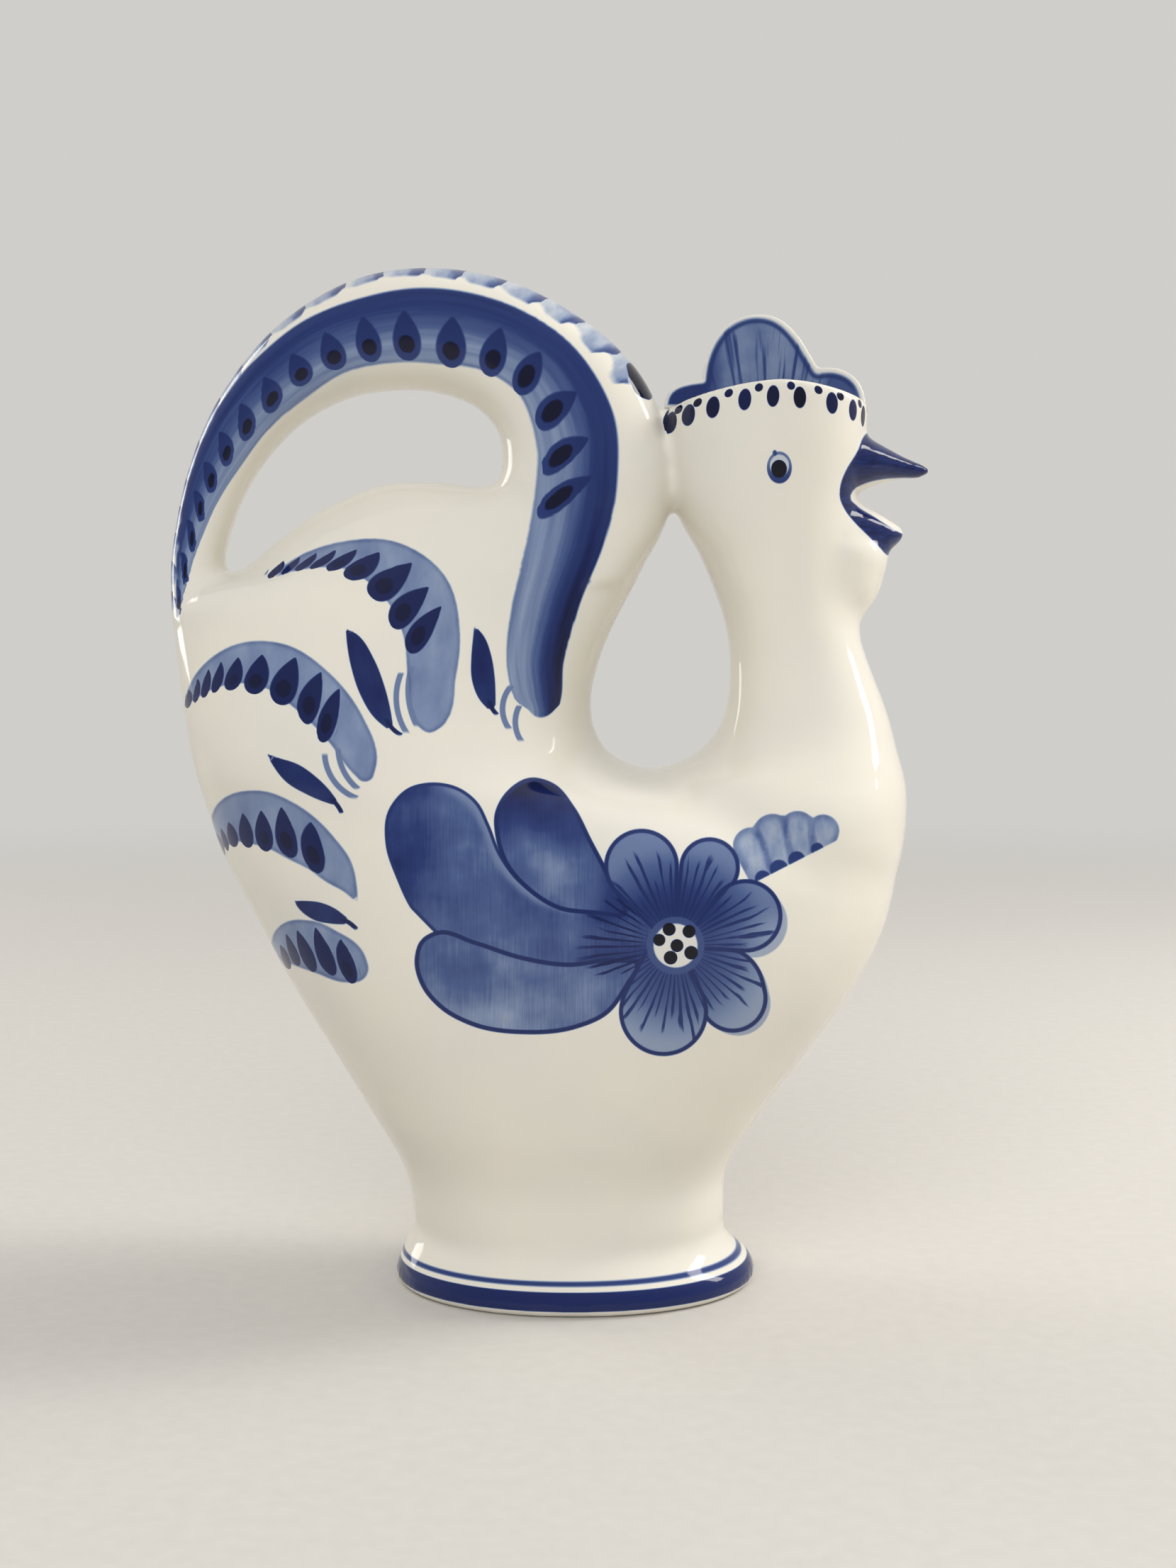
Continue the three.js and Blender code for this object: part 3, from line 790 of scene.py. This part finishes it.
def in_strip(place, stations, far=40, fine=14):
    """Place of each point between two guide lines: station number, share of the way across, and distance."""
    numbers = np.linspace(stations[0][0], stations[-1][0], fine * len(stations))
    lines = smooth(stations, numbers)
    first, across = lines[:, :2], lines[:, 2:4] - lines[:, :2]
    speed_first, speed_across = np.gradient(first, numbers, axis=0), np.gradient(across, numbers, axis=0)
    near = near_box(place, np.vstack([lines[:, :2], lines[:, 2:4]]), far)
    p = place[near][:, None] - first
    share = (p * across).sum(2) / (across**2).sum(1)
    held = np.clip(share, 0, 1)
    away = np.linalg.norm(p - held[..., None] * across, axis=2)
    best = away.argmin(axis=1)
    rows = np.arange(len(best))
    t = share[rows, best]
    gap = p[rows, best] - t[:, None] * across[best]
    speed = speed_first[best] + np.clip(t, 0, 1)[:, None] * speed_across[best]
    number = numbers[best] + (gap * speed).sum(1) / (speed**2).sum(1)
    past_edge = np.maximum(-t, t - 1).clip(0) * np.linalg.norm(across[best], axis=1)
    past_end = np.maximum(numbers[0] - number, number - numbers[-1]).clip(0) * np.linalg.norm(speed, axis=1)
    result = np.tile(NOWHERE, (len(place), 1))
    result[near] = np.column_stack([number, t, np.hypot(past_edge, past_end)])
    return result.T


def nearest_strip(place, strips):
    """Place in the nearest of several strips, with the number of that strip."""
    found = np.array([in_strip(place, strip) for strip in strips])
    which = found[:, 2].argmin(axis=0)
    return (*found[which, :, np.arange(len(place))].T, which)


def circle(first, second, third):
    """Middle and radius of the circle through three places."""
    (ax, ay), (bx, by), (cx, cy) = first, second, third
    twice = 2 * (ax * (by - cy) + bx * (cy - ay) + cx * (ay - by))
    a, b, c = ax * ax + ay * ay, bx * bx + by * by, cx * cx + cy * cy
    x = (a * (by - cy) + b * (cy - ay) + c * (ay - by)) / twice
    y = (a * (cx - bx) + b * (ax - cx) + c * (bx - ax)) / twice
    return x, y, math.hypot(ax - x, ay - y)


def within_walls(x, y, z):
    """Which places lie on the inside of the vessel."""
    inner = np.zeros(len(x), bool)
    for stations in (TRUNK, NECK):
        low, high = stations[0][0], stations[-1][0]
        back, front, depth = smooth(stations, np.clip(z, low, high)).T
        inner |= (out_of_oval(x, y, back, front, depth, -SKIN) < 1) & (z > low) & (z < high)
    return inner


def round_rim(x, y, z):
    """Number of the drop round the lip, distance below the lip, and factor by which drops get narrower."""
    back, front, depth = smooth(NECK, np.array([RIM]))[0]
    turn = np.arctan2(y / depth, (x - (back + front) / 2) / ((front - back) / 2))
    number = np.abs(turn) / (2 * math.pi) * RIM_DROPS
    off_neck = OFF_NECK * np.clip(out_of_oval(x, y, back, front, depth, 1) - 1, 0, None)
    near_tail = NEAR_TAIL * np.clip(np.abs(turn) / math.pi - DROPS_END, 0, None)
    narrowing = np.maximum(np.abs(np.sin(turn)), np.where(np.cos(turn) > 0, *NARROWEST))
    return number, lip(x) - z + off_neck + near_tail, narrowing


def lay_out(mesh):
    """Gives the body's vertices their places in the drawing, and their depths inside its shapes."""
    points = points_of(mesh)
    place = drawing_place(points)
    x, y, z = from_foot(points).T
    hidden = np.where(within_walls(x, y, z), FAR, 0)

    def depths(name, *columns):
        """Keeps depths inside shapes, none of which reaches the inside of the vessel."""
        set_field(mesh, name, *(column - hidden for column in columns))

    set_field(mesh, "drawing", *place.T, -hidden)
    number, share, away = in_strip(place, TAIL_BAND)
    set_field(mesh, "tail_band", number, share, away + hidden)
    number, _, away = in_strip(drawing_place(points * (1, 0, 1)), SPINE)
    half = smooth([(row[0], row[-1]) for row in SPINE], number)[:, 0]
    set_field(mesh, "spine", number, np.abs(y) / half, away + hidden)
    rows = [lengthened(row) for row in (TAIL_DROPS, *FEATHER_DROPS)]
    number, share, away, row = nearest_strip(place, rows)
    set_field(mesh, "drops", number + TAIL_ROW * (row == 0), share, away + hidden)

    depths("feathers", inside_strokes(place, FEATHERS))
    depths("leaves", inside_strokes(place, LEAVES), inside_stroke(place, SPINE_END))
    depths("petal_shadow", inside_strokes(place, PETAL_SHADOWS))
    depths("petals", inside_strokes(place, FRONT_PETALS), inside_strokes(place, BACK_PETALS))
    lobes = np.sort([inside_stroke(place, lobe) for lobe in LOBES], axis=0)
    depths("lobes", lobes[-1], lobes[-2])
    depths("wing", *(inside_outline(place, rounded(outline, 8)) for outline in (WING_BACK, *WING_FRONT)))
    set_field(mesh, "beak", inside_outline(place, rounded(BEAK_PAINT, 6)))

    number, down, narrowing = round_rim(x, y, z)
    set_field(mesh, "rim", number, down + hidden, narrowing)


# Shader nodes


def linear(red, green, blue):
    """A colour written in sRGB from 0 to 255, as the shader takes it."""
    shares = np.array((red, green, blue)) / 255
    return (*np.where(shares > 0.04045, ((shares + 0.055) / 1.055) ** 2.4, shares / 12.92), 1)


class Value:
    """A number that a shader works out, to reckon with like any other."""

    def __init__(self, graph, socket):
        self.graph = graph
        self.socket = socket

    def __add__(self, other):
        return self.graph.math("ADD", self, other)

    def __sub__(self, other):
        return self.graph.math("SUBTRACT", self, other)

    def __rsub__(self, other):
        return self.graph.math("SUBTRACT", other, self)

    def __mul__(self, other):
        return self.graph.math("MULTIPLY", self, other)

    def __truediv__(self, other):
        return self.graph.math("DIVIDE", self, other)

    def __pow__(self, other):
        return self.graph.math("POWER", self, other)

    def __abs__(self):
        return self.graph.math("ABSOLUTE", self)

    def step(self, low, high):
        """Smooth rise from 0 to 1 between two values, or fall where the first is the higher."""
        node = self.graph.add("MapRange", interpolation_type="SMOOTHSTEP")
        for name, setting in (("Value", self), ("From Min", low), ("From Max", high)):
            self.graph.join(setting, node.inputs[name])
        return Value(self.graph, node.outputs[0])

    def past(self, limit=0.0, soft=SOFT_EDGE):
        """1 past a limit and 0 before it, with a soft edge."""
        return self.step(limit - soft, limit + soft)

    def within(self, limit=0.0, soft=SOFT_EDGE):
        """1 before a limit and 0 past it, with a soft edge."""
        return self.step(limit + soft, limit - soft)

    def line(self, half, soft=LINE_SOFT):
        """A line along the edge of a shape, where the depth inside it is 0."""
        return abs(self).within(half, soft)


class Graph:
    """Short ways to join the shader nodes of a new material, or of the world."""

    def __init__(self, name, world=None):
        self.material = world or bpy.data.materials.new(name)
        self.material.use_nodes = True
        self.nodes = self.material.node_tree.nodes
        self.links = self.material.node_tree.links
        self.shader = self.nodes["Background" if world else "Principled BSDF"]

    def add(self, kind, inputs=(), **settings):
        """A new node with its settings and its first inputs."""
        node = self.nodes.new("ShaderNode" + kind)
        for name, value in settings.items():
            setattr(node, name, value)
        for socket, value in zip(node.inputs, inputs):
            self.join(value, socket)
        return node

    def join(self, value, socket):
        """Leads a worked-out value to a socket, or sets the socket to a fixed one."""
        if isinstance(value, Value):
            value = value.socket
        if isinstance(value, bpy.types.NodeSocket):
            self.links.new(value, socket)
        elif value is not None:
            socket.default_value = value

    def math(self, operation, *inputs):
        """The result of an operation on numbers."""
        return Value(self, self.add("Math", inputs, operation=operation).outputs[0])

    def place(self):
        """Where a point lies in the object's own space, in metres."""
        return self.add("TexCoord").outputs["Object"]

    def parts(self, vector):
        """The three numbers of a vector."""
        return [Value(self, socket) for socket in self.add("SeparateXYZ", (vector,)).outputs]

    def field(self, name):
        """The numbers that set_field keeps under a name."""
        return self.parts(self.add("Attribute", attribute_name=name).outputs["Vector"])

    def stretched(self, *factors):
        """The place in the object's space, times a factor along each axis."""
        return self.add("VectorMath", (self.place(), factors), operation="MULTIPLY").outputs[0]

    def millimetres(self):
        """Where a point of the object lies along the three axes."""
        return self.parts(self.stretched(1 / MM, 1 / MM, 1 / MM))

    def speckle(self, scale, detail, place=None):
        """Noise through the object's space."""
        vector = self.place() if place is None else place
        return Value(self, self.add("TexNoise", (vector, None, scale, detail)).outputs[0])

    def tint(self, value, stops):
        """Colours the surface by a value, between stops of a place and an sRGB colour."""
        ramp = self.add("ValToRGB", (value,))
        elements = ramp.color_ramp.elements
        while len(elements) < len(stops):
            elements.new(0.5)
        for element, (place, *colour) in zip(elements, stops):
            element.position = place
            element.color = linear(*colour)
        self.join(ramp.outputs[0], self.shader.inputs["Base Color"])


def mix(low, high, share):
    """A value between two others."""
    node = share.graph.add("Mix", (share, None, low, high), data_type="FLOAT")
    return Value(share.graph, node.outputs[0])


def noise(x, y, detail=3.0):
    """Noise over a plane."""
    place = x.graph.add("CombineXYZ", (x, y)).outputs[0]
    node = x.graph.add("TexNoise", (place, None, 1.0, detail), noise_dimensions="2D")
    return Value(x.graph, node.outputs[0])


def distance(u, v, x, y, squeeze=1.0):
    """How far a place lies from a point of the drawing, with the way up or down squeezed."""
    across = u - x
    down = (v - y) * squeeze
    return u.graph.math("SQRT", across * across + down * down)


def in_spots(u, v, spots):
    """How far a place lies inside the nearest of several round spots."""
    depth = -FAR
    for x, y, radius in spots:
        depth = u.graph.math("MAXIMUM", depth, radius - distance(u, v, x, y))
    return depth


# Paint: each function lays its strokes over the ink that is there, in strengths from 0 to 1


def outlined(ink, depth, wash, dark, half):
    """A washed shape with a darker line along its edge."""
    return mix(mix(ink, wash, depth.past()), dark, depth.line(half))


def arc_line(ink, u, v, stroke, half, strength):
    """A thin brush line along the arc through three places."""
    first, middle, last = stroke
    x, y, radius = circle(*stroke)
    off = abs(distance(u, v, x, y) - radius)
    reach = max(math.dist(middle, first), math.dist(middle, last))
    nearby = distance(u, v, *middle).step(reach + 2, reach - 1)
    line = off.within(half, 1) * v.past(first[1], 3) * v.within(last[1], 3) * nearby
    return mix(ink, u.graph.math("MAXIMUM", ink, strength), line)


def drop_masks(graph, number, share, away, width):
    """A row of drops, round at the start and pointed at the tip, and a dark spot in each."""
    aside = abs(graph.math("FRACT", number + 0.5) - 0.5)
    held = graph.math("MAXIMUM", graph.math("MINIMUM", share, 1.0), 0.0)
    half = held**0.5 * (1.0 - held) ** 0.9 * (width * 2.5)
    ends = share.step(-0.02, 0.02) * share.step(1.0, 0.98)
    drop = (half - aside).step(-0.03, 0.04) * ends * away.step(3.0, 1.0)
    late = number.step(TAIL_ROW + 12.5, TAIL_ROW + 14.0)
    along = (share - mix(0.33, 0.4, late)) / mix(0.18, 0.26, late)
    beside = aside / (width * 0.6)
    return drop, (along * along + beside * beside).step(1.2, 0.7)


def band_ink(graph, ink):
    """Band along the tail, dark outside and paler inside."""
    number, across, away = graph.field("tail_band")
    streaks = noise(number * 0.35, across * 9.0)
    strength = mix(0.36, 0.7, across.step(0.2, 0.85))
    strength = mix(strength, 0.42, across.step(0.06, 0.0))
    strength = mix(strength, 0.88, across.step(0.5, 0.9) * number.step(12.0, 16.0))
    strength = strength + (streaks - 0.5) * 0.22
    sides = across.step(-0.03, 0.02) * across.step(1.02, 0.97)
    off = across - 0.5
    round_end = number + off * off * 2.8
    ends = number.step(-0.05, 0.05) * round_end.step(18.4, 18.25)
    return mix(ink, strength, sides * ends * away.step(20.0, 14.0))


def on_ridge(graph):
    """The ridge of the tail, which the paint of the sides doesn't reach."""
    _, aside, away = graph.field("spine")
    return aside.step(0.9, 0.8) * away.step(10.0, 4.0)


def spine_ink(graph, ink):
    """Overlapping strokes like scales along the tail's ridge, each dark at its lower end."""
    number, aside, away = graph.field("spine")
    across = 1.0 - aside / SPINE_SHARE
    bend = across - 0.5
    mottle = noise(number * 2.6, across * 1.4)
    place = graph.math("FRACT", number + bend * bend * 0.5 + mottle * 0.3)
    edge = mix(0.12, -0.06, place.step(0.0, 0.6))
    edge = mix(edge, 0.15, place.step(0.72, 1.0))
    scallop = across - edge
    wash = mix(0.15, 0.3, place.step(0.05, 0.55)) + (mottle - 0.5) * 0.3
    wash = mix(wash, 0.64, place.step(0.55, 0.9) * scallop.step(1.2, 0.3))
    ends = number.step(-2.9, -2.7) * number.step(15.7, 15.5)
    ink = mix(ink, wash, scallop.past(soft=0.05) * ends * away.step(14.0, 8.0))
    return mix(ink, 0.97, graph.field("leaves")[1].past(soft=LINE_SOFT))


def near_back(graph, u, v):
    """How near a place of the belly lies to the middle of the back, out of reach of the sides' paint."""
    aside = abs(graph.millimetres()[1])
    return aside.step(*BACK_ASIDE) * u.step(*BACK_ACROSS) * v.step(*BACK_DOWN)


def feather_ink(graph, ink, u, v):
    """Washed feathers with rows of drops, dark leaves and thin brush lines between them."""
    near = near_back(graph, u, v)
    depth = graph.field("feathers")[0] - near * BACK_CUT
    patches = noise(u * 0.03, v * 0.015)
    wash = mix(0.27, 0.45, patches)
    wash = mix(wash + 0.08, wash, depth.step(1.0, 8.0))
    ink = mix(ink, wash, depth.step(-1.5, 2.0))

    number, share, away = graph.field("drops")
    on_tail = number.step(TAIL_ROW * 0.4, TAIL_ROW * 0.6)
    drop, spot = drop_masks(graph, number, share, away, mix(0.44, 0.34, on_tail))
    off = share - 0.45
    drop = drop * (near + off * off * 1.2).step(0.6, 0.5)
    ink = mix(ink, mix(0.84, mix(0.66, 0.78, share), on_tail), drop)
    shown = graph.math("MAXIMUM", on_tail, number.step(2.5, 5.0))
    ink = mix(ink, mix(0.91, 0.95, on_tail), spot * drop * shown)

    leaves = graph.field("leaves")[0]
    ink = mix(ink, mix(0.7, 0.88, patches), leaves.past(soft=LINE_SOFT))
    for stroke in THIN_STROKES:
        ink = arc_line(ink, u, v, stroke, THIN_HALF, 0.42)
    for stroke in LEAF_ENDS:
        ink = arc_line(ink, u, v, stroke, LEAF_END_HALF, 0.85)
    return ink


def wing_ink(graph, ink, u, v):
    """Three broad wing petals with dark outlines and brushed washes."""
    back, upper, lower = graph.field("wing")
    grain = noise(u * 0.42, v * 0.016, detail=4.0)
    cloud = noise(u * 0.012, v * 0.012)
    texture = (grain - 0.5) * 0.12 + (cloud - 0.5) * 0.4

    wash = mix(0.68, 0.53, u.step(*WING_TIP))
    wash = mix(wash, 0.64, u.step(*WING_ROOT)) + texture
    edge = mix(0.4, wash, back.step(4.0, 18.0))
    wash = mix(wash, edge, u.step(*WING_EDGE))
    ink = outlined(ink, back, wash, 0.72, 2.2)

    wash = mix(0.84, 0.5, v.step(*UPPER_TIP_DOWN)) + texture
    wash = mix(wash, 0.9, upper.step(30.0, 4.0) * v.step(*UPPER_EDGE_DOWN))
    wash = mix(wash, 0.72, u.step(*UPPER_ROOT))
    ink = outlined(ink, upper, wash, 0.78, 3.0)

    wash = mix(0.5, 0.42, v.step(*LOWER_DOWN)) + texture
    return outlined(ink, lower, wash, 0.78, 3.0)


def leaf_ink(graph, ink, u, v):
    """A scalloped leaf of four washed lobes, with a straight lower edge and dark dots along it."""
    outer, behind, _ = graph.field("lobes")
    (x, y), (far_x, far_y) = LOBE_FOOT
    length = math.dist(*LOBE_FOOT)
    below = (u - x) * ((y - far_y) / length) + (v - y) * ((far_x - x) / length)
    leaf = outer.past() * below.within()
    wash = mix(0.5, 0.31, (outer - behind).step(0.0, 16.0))
    wash = mix(wash, 0.42, outer.step(12.0, 1.0))
    mottle = noise(u * 0.06, v * 0.03)
    ink = mix(ink, wash + (mottle - 0.5) * 0.22, leaf)
    return mix(ink, 0.68, in_spots(u, v, LOBE_DOTS).past() * leaf)


def flower_ink(graph, ink, u, v):
    """Five veined petals round a pale disc with dark dots; some veins run on over the wing."""
    across, down = u - FLOWER[0], v - FLOWER[1]
    angle = graph.math("ARCTAN2", down, across)
    reach = distance(u, v, *FLOWER)
    wander = noise(angle * 9.0, reach * 0.012)
    waves = graph.math("SINE", angle * FLOWER_VEINS + wander * 5.0)
    vein_end = mix(*VEIN_ENDS, noise(angle * 5.5, 3.7, detail=1.0))
    veins = waves.step(0.3, 0.8) * reach.step(vein_end, vein_end - 14.0)

    on_wing = across.step(-35.0, -60.0) * graph.field("wing")[0].step(2.0, 6.0)
    ink = mix(ink, 0.84, veins * on_wing * reach.step(150.0, 110.0))
    shadow = graph.field("petal_shadow")[0]
    ink = mix(ink, graph.math("MAXIMUM", ink, 0.26), shadow.past())
    wash = mix(0.62, 0.3, reach.step(45.0, 150.0)) + down.step(-10.0, -60.0) * 0.13
    wash = mix(wash, 0.78, veins * 0.85)
    front, back, _ = graph.field("petals")
    for depth in (back, front):
        ink = outlined(ink, depth, wash, 0.76, 2.8)

    ink = mix(ink, 0.58, reach.within(FLOWER_RING))
    ink = mix(ink, 0.05, reach.within(FLOWER_DISC))
    return mix(ink, 1.0, in_spots(u, v, FLOWER_DOTS).past(soft=SHARP_EDGE))


def eye_ink(ink, u, v):
    """Dark pupil on the thick lower part of a ring with a short tick above."""
    away = distance(u, v, *EYE, squeeze=0.78)
    below = v.step(*EYE_SHADE)
    inner = mix(EYE_RING - EYE_LINE, PUPIL, below)
    ring = (away - inner).past(soft=SHARP_EDGE)
    eye = mix(0.14, mix(0.46, 0.66, below), ring)
    ink = mix(ink, eye, away.within(EYE_RING, SHARP_EDGE))
    ink = mix(ink, 0.62, distance(u, v, *EYE_TICK, squeeze=0.75).within(TICK, 1))
    pupil = distance(u, v, *PUPIL_AT, squeeze=0.87)
    return mix(ink, 0.99, pupil.within(PUPIL, SHARP_EDGE))


def beak_ink(graph, ink, u, v):
    """Dark blue beak, paler inside."""
    streaks = noise(u * 0.05, v * 0.2)
    return mix(ink, mix(0.68, 0.96, streaks), graph.field("beak")[0].past())


def rim_ink(graph, ink):
    """Uneven drops under the lip, with a small dot between each two."""
    around, down, narrowing = graph.field("rim")
    for shift, low, half_height, half_width in RIM_ROWS:
        place = around + shift
        node = graph.add("TexWhiteNoise", noise_dimensions="1D")
        graph.join(graph.math("FLOOR", place) + shift, node.inputs["W"])
        chance = Value(graph, node.outputs[0])
        sway = (chance - 0.5) * 0.22
        beside = (graph.math("FRACT", place) - 0.5 + sway) / half_width * narrowing
        along = (down + sway - low) / half_height
        spot = along * along + beside * beside
        ink = mix(ink, mix(0.97, 0.86, chance), spot.step(1.18, 0.85))
    return ink


def foot_ink(graph, ink):
    """A broad band and a thin line round the foot."""
    height = graph.millimetres()[2]
    for (low, high), strength, soft in ((FOOT_BAND, 0.8, 0.2), (FOOT_LINE, 0.66, 0.3)):
        ink = mix(ink, strength, height.past(low, soft) * height.within(high, soft))
    return ink


# Materials


def glazed(graph, ink):
    """A thick, glossy, slightly wavy glaze over cobalt of the given strength."""
    graph.tint(ink, INK)
    waves = graph.speckle(55.0, 1.0)
    runs = graph.speckle(150.0, 2.0, graph.stretched(1.0, 1.0, 0.12))
    bump = graph.add("Bump")
    bump.inputs["Strength"].default_value = GLAZE_BUMP
    bump.inputs["Distance"].default_value = GLAZE_WAVES
    graph.join(waves + runs * 0.3, bump.inputs["Height"])
    graph.join(bump.outputs[0], graph.shader.inputs["Normal"])
    graph.shader.inputs["Specular IOR Level"].default_value = GLAZE_SPECULAR
    graph.join(mix(*GLAZE_ROUGHNESS, graph.speckle(160.0, 3.0)), graph.shader.inputs["Roughness"])
    return graph.material


def painted_glaze():
    """Ivory glaze over the cobalt ornament."""
    graph = Graph("painted_glaze")
    u, v, outside = graph.field("drawing")
    bare = mix(-0.02, 0.05, graph.speckle(28.0, 4.0))
    ink = band_ink(graph, bare)
    ink = feather_ink(graph, ink, u, v)
    ink = mix(ink, bare, on_ridge(graph))
    ink = spine_ink(graph, ink)
    for paint in (wing_ink, leaf_ink, flower_ink):
        ink = paint(graph, ink, u, v)
    ink = eye_ink(ink, u, v)
    ink = beak_ink(graph, ink, u, v)
    ink = rim_ink(graph, ink)
    ink = foot_ink(graph, ink)
    return glazed(graph, mix(0.0, ink, outside.step(-FAR / 2, -1.0)))


def comb_glaze():
    """Grey-blue wash with dark streaks, a dark line inside the edge and a pale unpainted edge, made wider
    toward the front by a painted highlight.
    """
    graph = Graph("comb_glaze")
    depth, forward, height = graph.field("comb")
    aside = abs(graph.millimetres()[1])
    fan = forward / (height * 0.03 + 1.0)
    streaks = noise(fan * 0.95, height * 0.03, detail=2.0)
    streak_top = mix(8.0, 32.0, noise(fan * 0.4, 7.7, detail=1.0))
    drawn = height.step(streak_top, streak_top - 5.0)
    wash = mix(0.33, 0.51, noise(forward * 0.14, height * 0.14))
    wash = mix(wash, 0.65, streaks.step(0.5, 0.72) * drawn)
    wash = mix(wash, 0.56, forward.step(13.0, 17.0))
    # Painted highlight: toward the front the depth is cut by up to 0.5 mm, which widens the pale edge and
    # moves the dark line inward, as where light catches the rounded edge
    depth = depth - mix(0.0, 0.5, forward.step(-4.0, 6.0))
    wash = mix(wash, 0.7, (depth - 1.7).line(0.35, 0.55))
    wash = mix(wash, 0.52, height.step(6.0, 2.0))
    wash = mix(wash, 0.72, forward.step(-9.0, -16.0))
    # Pale unpainted edge, partly widened toward the front by the painted highlight above
    off_edge = aside.step(1.2, 2.2) * depth.step(0.4, 1.3)
    return glazed(graph, mix(0.05, wash, off_edge))


def plain_glaze():
    """Ivory glaze without paint."""
    graph = Graph("plain_glaze")
    return glazed(graph, mix(-0.02, 0.06, graph.speckle(60.0, 4.0)))


def seen_directly(graph):
    """How far a ray comes from the camera or a mirroring surface, rather than from a matt one."""
    rays = graph.add("LightPath").outputs
    seen = graph.math("MAXIMUM", rays["Is Camera Ray"], rays["Is Glossy Ray"])
    return graph.math("MAXIMUM", seen, rays["Is Transmission Ray"])


def backdrop_strength(back):
    """Strength of the backdrop by the way back that a direction points: paler behind the carafe."""
    return mix(BACKDROP_FRONT, 1.0, back.step(-0.8, 0.2))


def floor_paint():
    """Pale matt floor that fades into the backdrop's colour away from the carafe."""
    graph = Graph("floor_paint")
    graph.tint(graph.speckle(220.0, 4.0), [(0, *FLOOR_DARK), (1, *FLOOR_PALE)])
    graph.shader.inputs["Roughness"].default_value = FLOOR_ROUGHNESS
    place = graph.place()
    away = Value(graph, graph.add("VectorMath", (place,), operation="LENGTH").outputs["Value"])
    share = seen_directly(graph) * away.step(*FLOOR_FADE)
    back = graph.parts(place)[1] / away
    glow = graph.add("Emission", (linear(*BACKDROP), backdrop_strength(back))).outputs[0]
    mixed = graph.add("MixShader", (share, graph.shader.outputs[0], glow)).outputs[0]
    graph.join(mixed, graph.nodes["Material Output"].inputs["Surface"])
    return graph.material


# The carafe


def dress(thing, material, moves_with, slot, *nodes):
    """Gives an object its glaze, and the place of the nodes that it stands for."""
    thing.data.materials.clear()
    thing.data.materials.append(material)
    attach(thing, moves_with)
    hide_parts(*nodes)


FIRED_AS_ONE = ("foot_ring", "belly_shell", "neck_shell", "tail_handle", "upper_beak", "lower_beak", "wattle")
body = glazed_body()
lay_out(body.data)
dress(body, painted_glaze(), "carafe", "ivory_glaze", *FIRED_AS_ONE)
dress(stopper_lid(), plain_glaze(), "stopper", "ivory_glaze", "stopper_plug")
dress(comb_plate(), comb_glaze(), "stopper", "comb_glaze", "comb")

# Stage


def floor():
    """A wide flat floor."""
    corners = [(FLOOR_HALF * x, FLOOR_HALF * y, 0) for x, y in ((-1, -1), (1, -1), (1, 1), (-1, 1))]
    mesh = bpy.data.meshes.new("floor")
    mesh.from_pydata(corners, [], [(0, 1, 2, 3)])
    mesh.materials.append(floor_paint())
    return placed("floor", mesh)


def lamp(name, place, width, height, power, colour, mirrored):
    """A soft box that faces the carafe, and is mirrored in its glaze or not."""
    light = bpy.data.lights.new(name, "AREA")
    light.shape = "RECTANGLE"
    light.size = width
    light.size_y = height
    light.energy = power
    light.color = colour
    thing = placed(name, light)
    thing.location = place
    thing.rotation_euler = (Vector(LAMPS_FACE) - Vector(place)).to_track_quat("-Z", "Y").to_euler()
    thing.visible_glossy = mirrored
    thing.visible_camera = False


def studio_light():
    """A pale backdrop, and soft light that is stronger from above and beside than from behind the camera."""
    world = bpy.data.worlds.new("studio")
    bpy.context.scene.world = world
    graph = Graph("studio", world)
    _, back, up = graph.parts(graph.add("TexCoord").outputs["Generated"])
    around = backdrop_strength(back)
    light = around * mix(*SOFT_LIGHT, up.step(-0.1, 0.9))
    backdrop = around * mix(1.0, BACKDROP_ABOVE, up.step(0.4, 0.95))
    graph.join(linear(*BACKDROP), graph.shader.inputs["Color"])
    graph.join(mix(light, backdrop, seen_directly(graph)), graph.shader.inputs["Strength"])


floor()
for setting in LAMPS:
    lamp(*setting)
studio_light()

# Camera

camera_data = bpy.data.cameras.new("camera")
camera_data.lens = LENS
camera_data.sensor_fit = "VERTICAL"
camera_data.sensor_height = SENSOR
camera = placed("camera", camera_data)
camera.location = CAMERA_AT
camera.rotation_euler = (math.pi / 2 - CAMERA_PITCH, 0, 0)
bpy.context.scene.camera = camera
bpy.context.scene.view_settings.view_transform = "Standard"
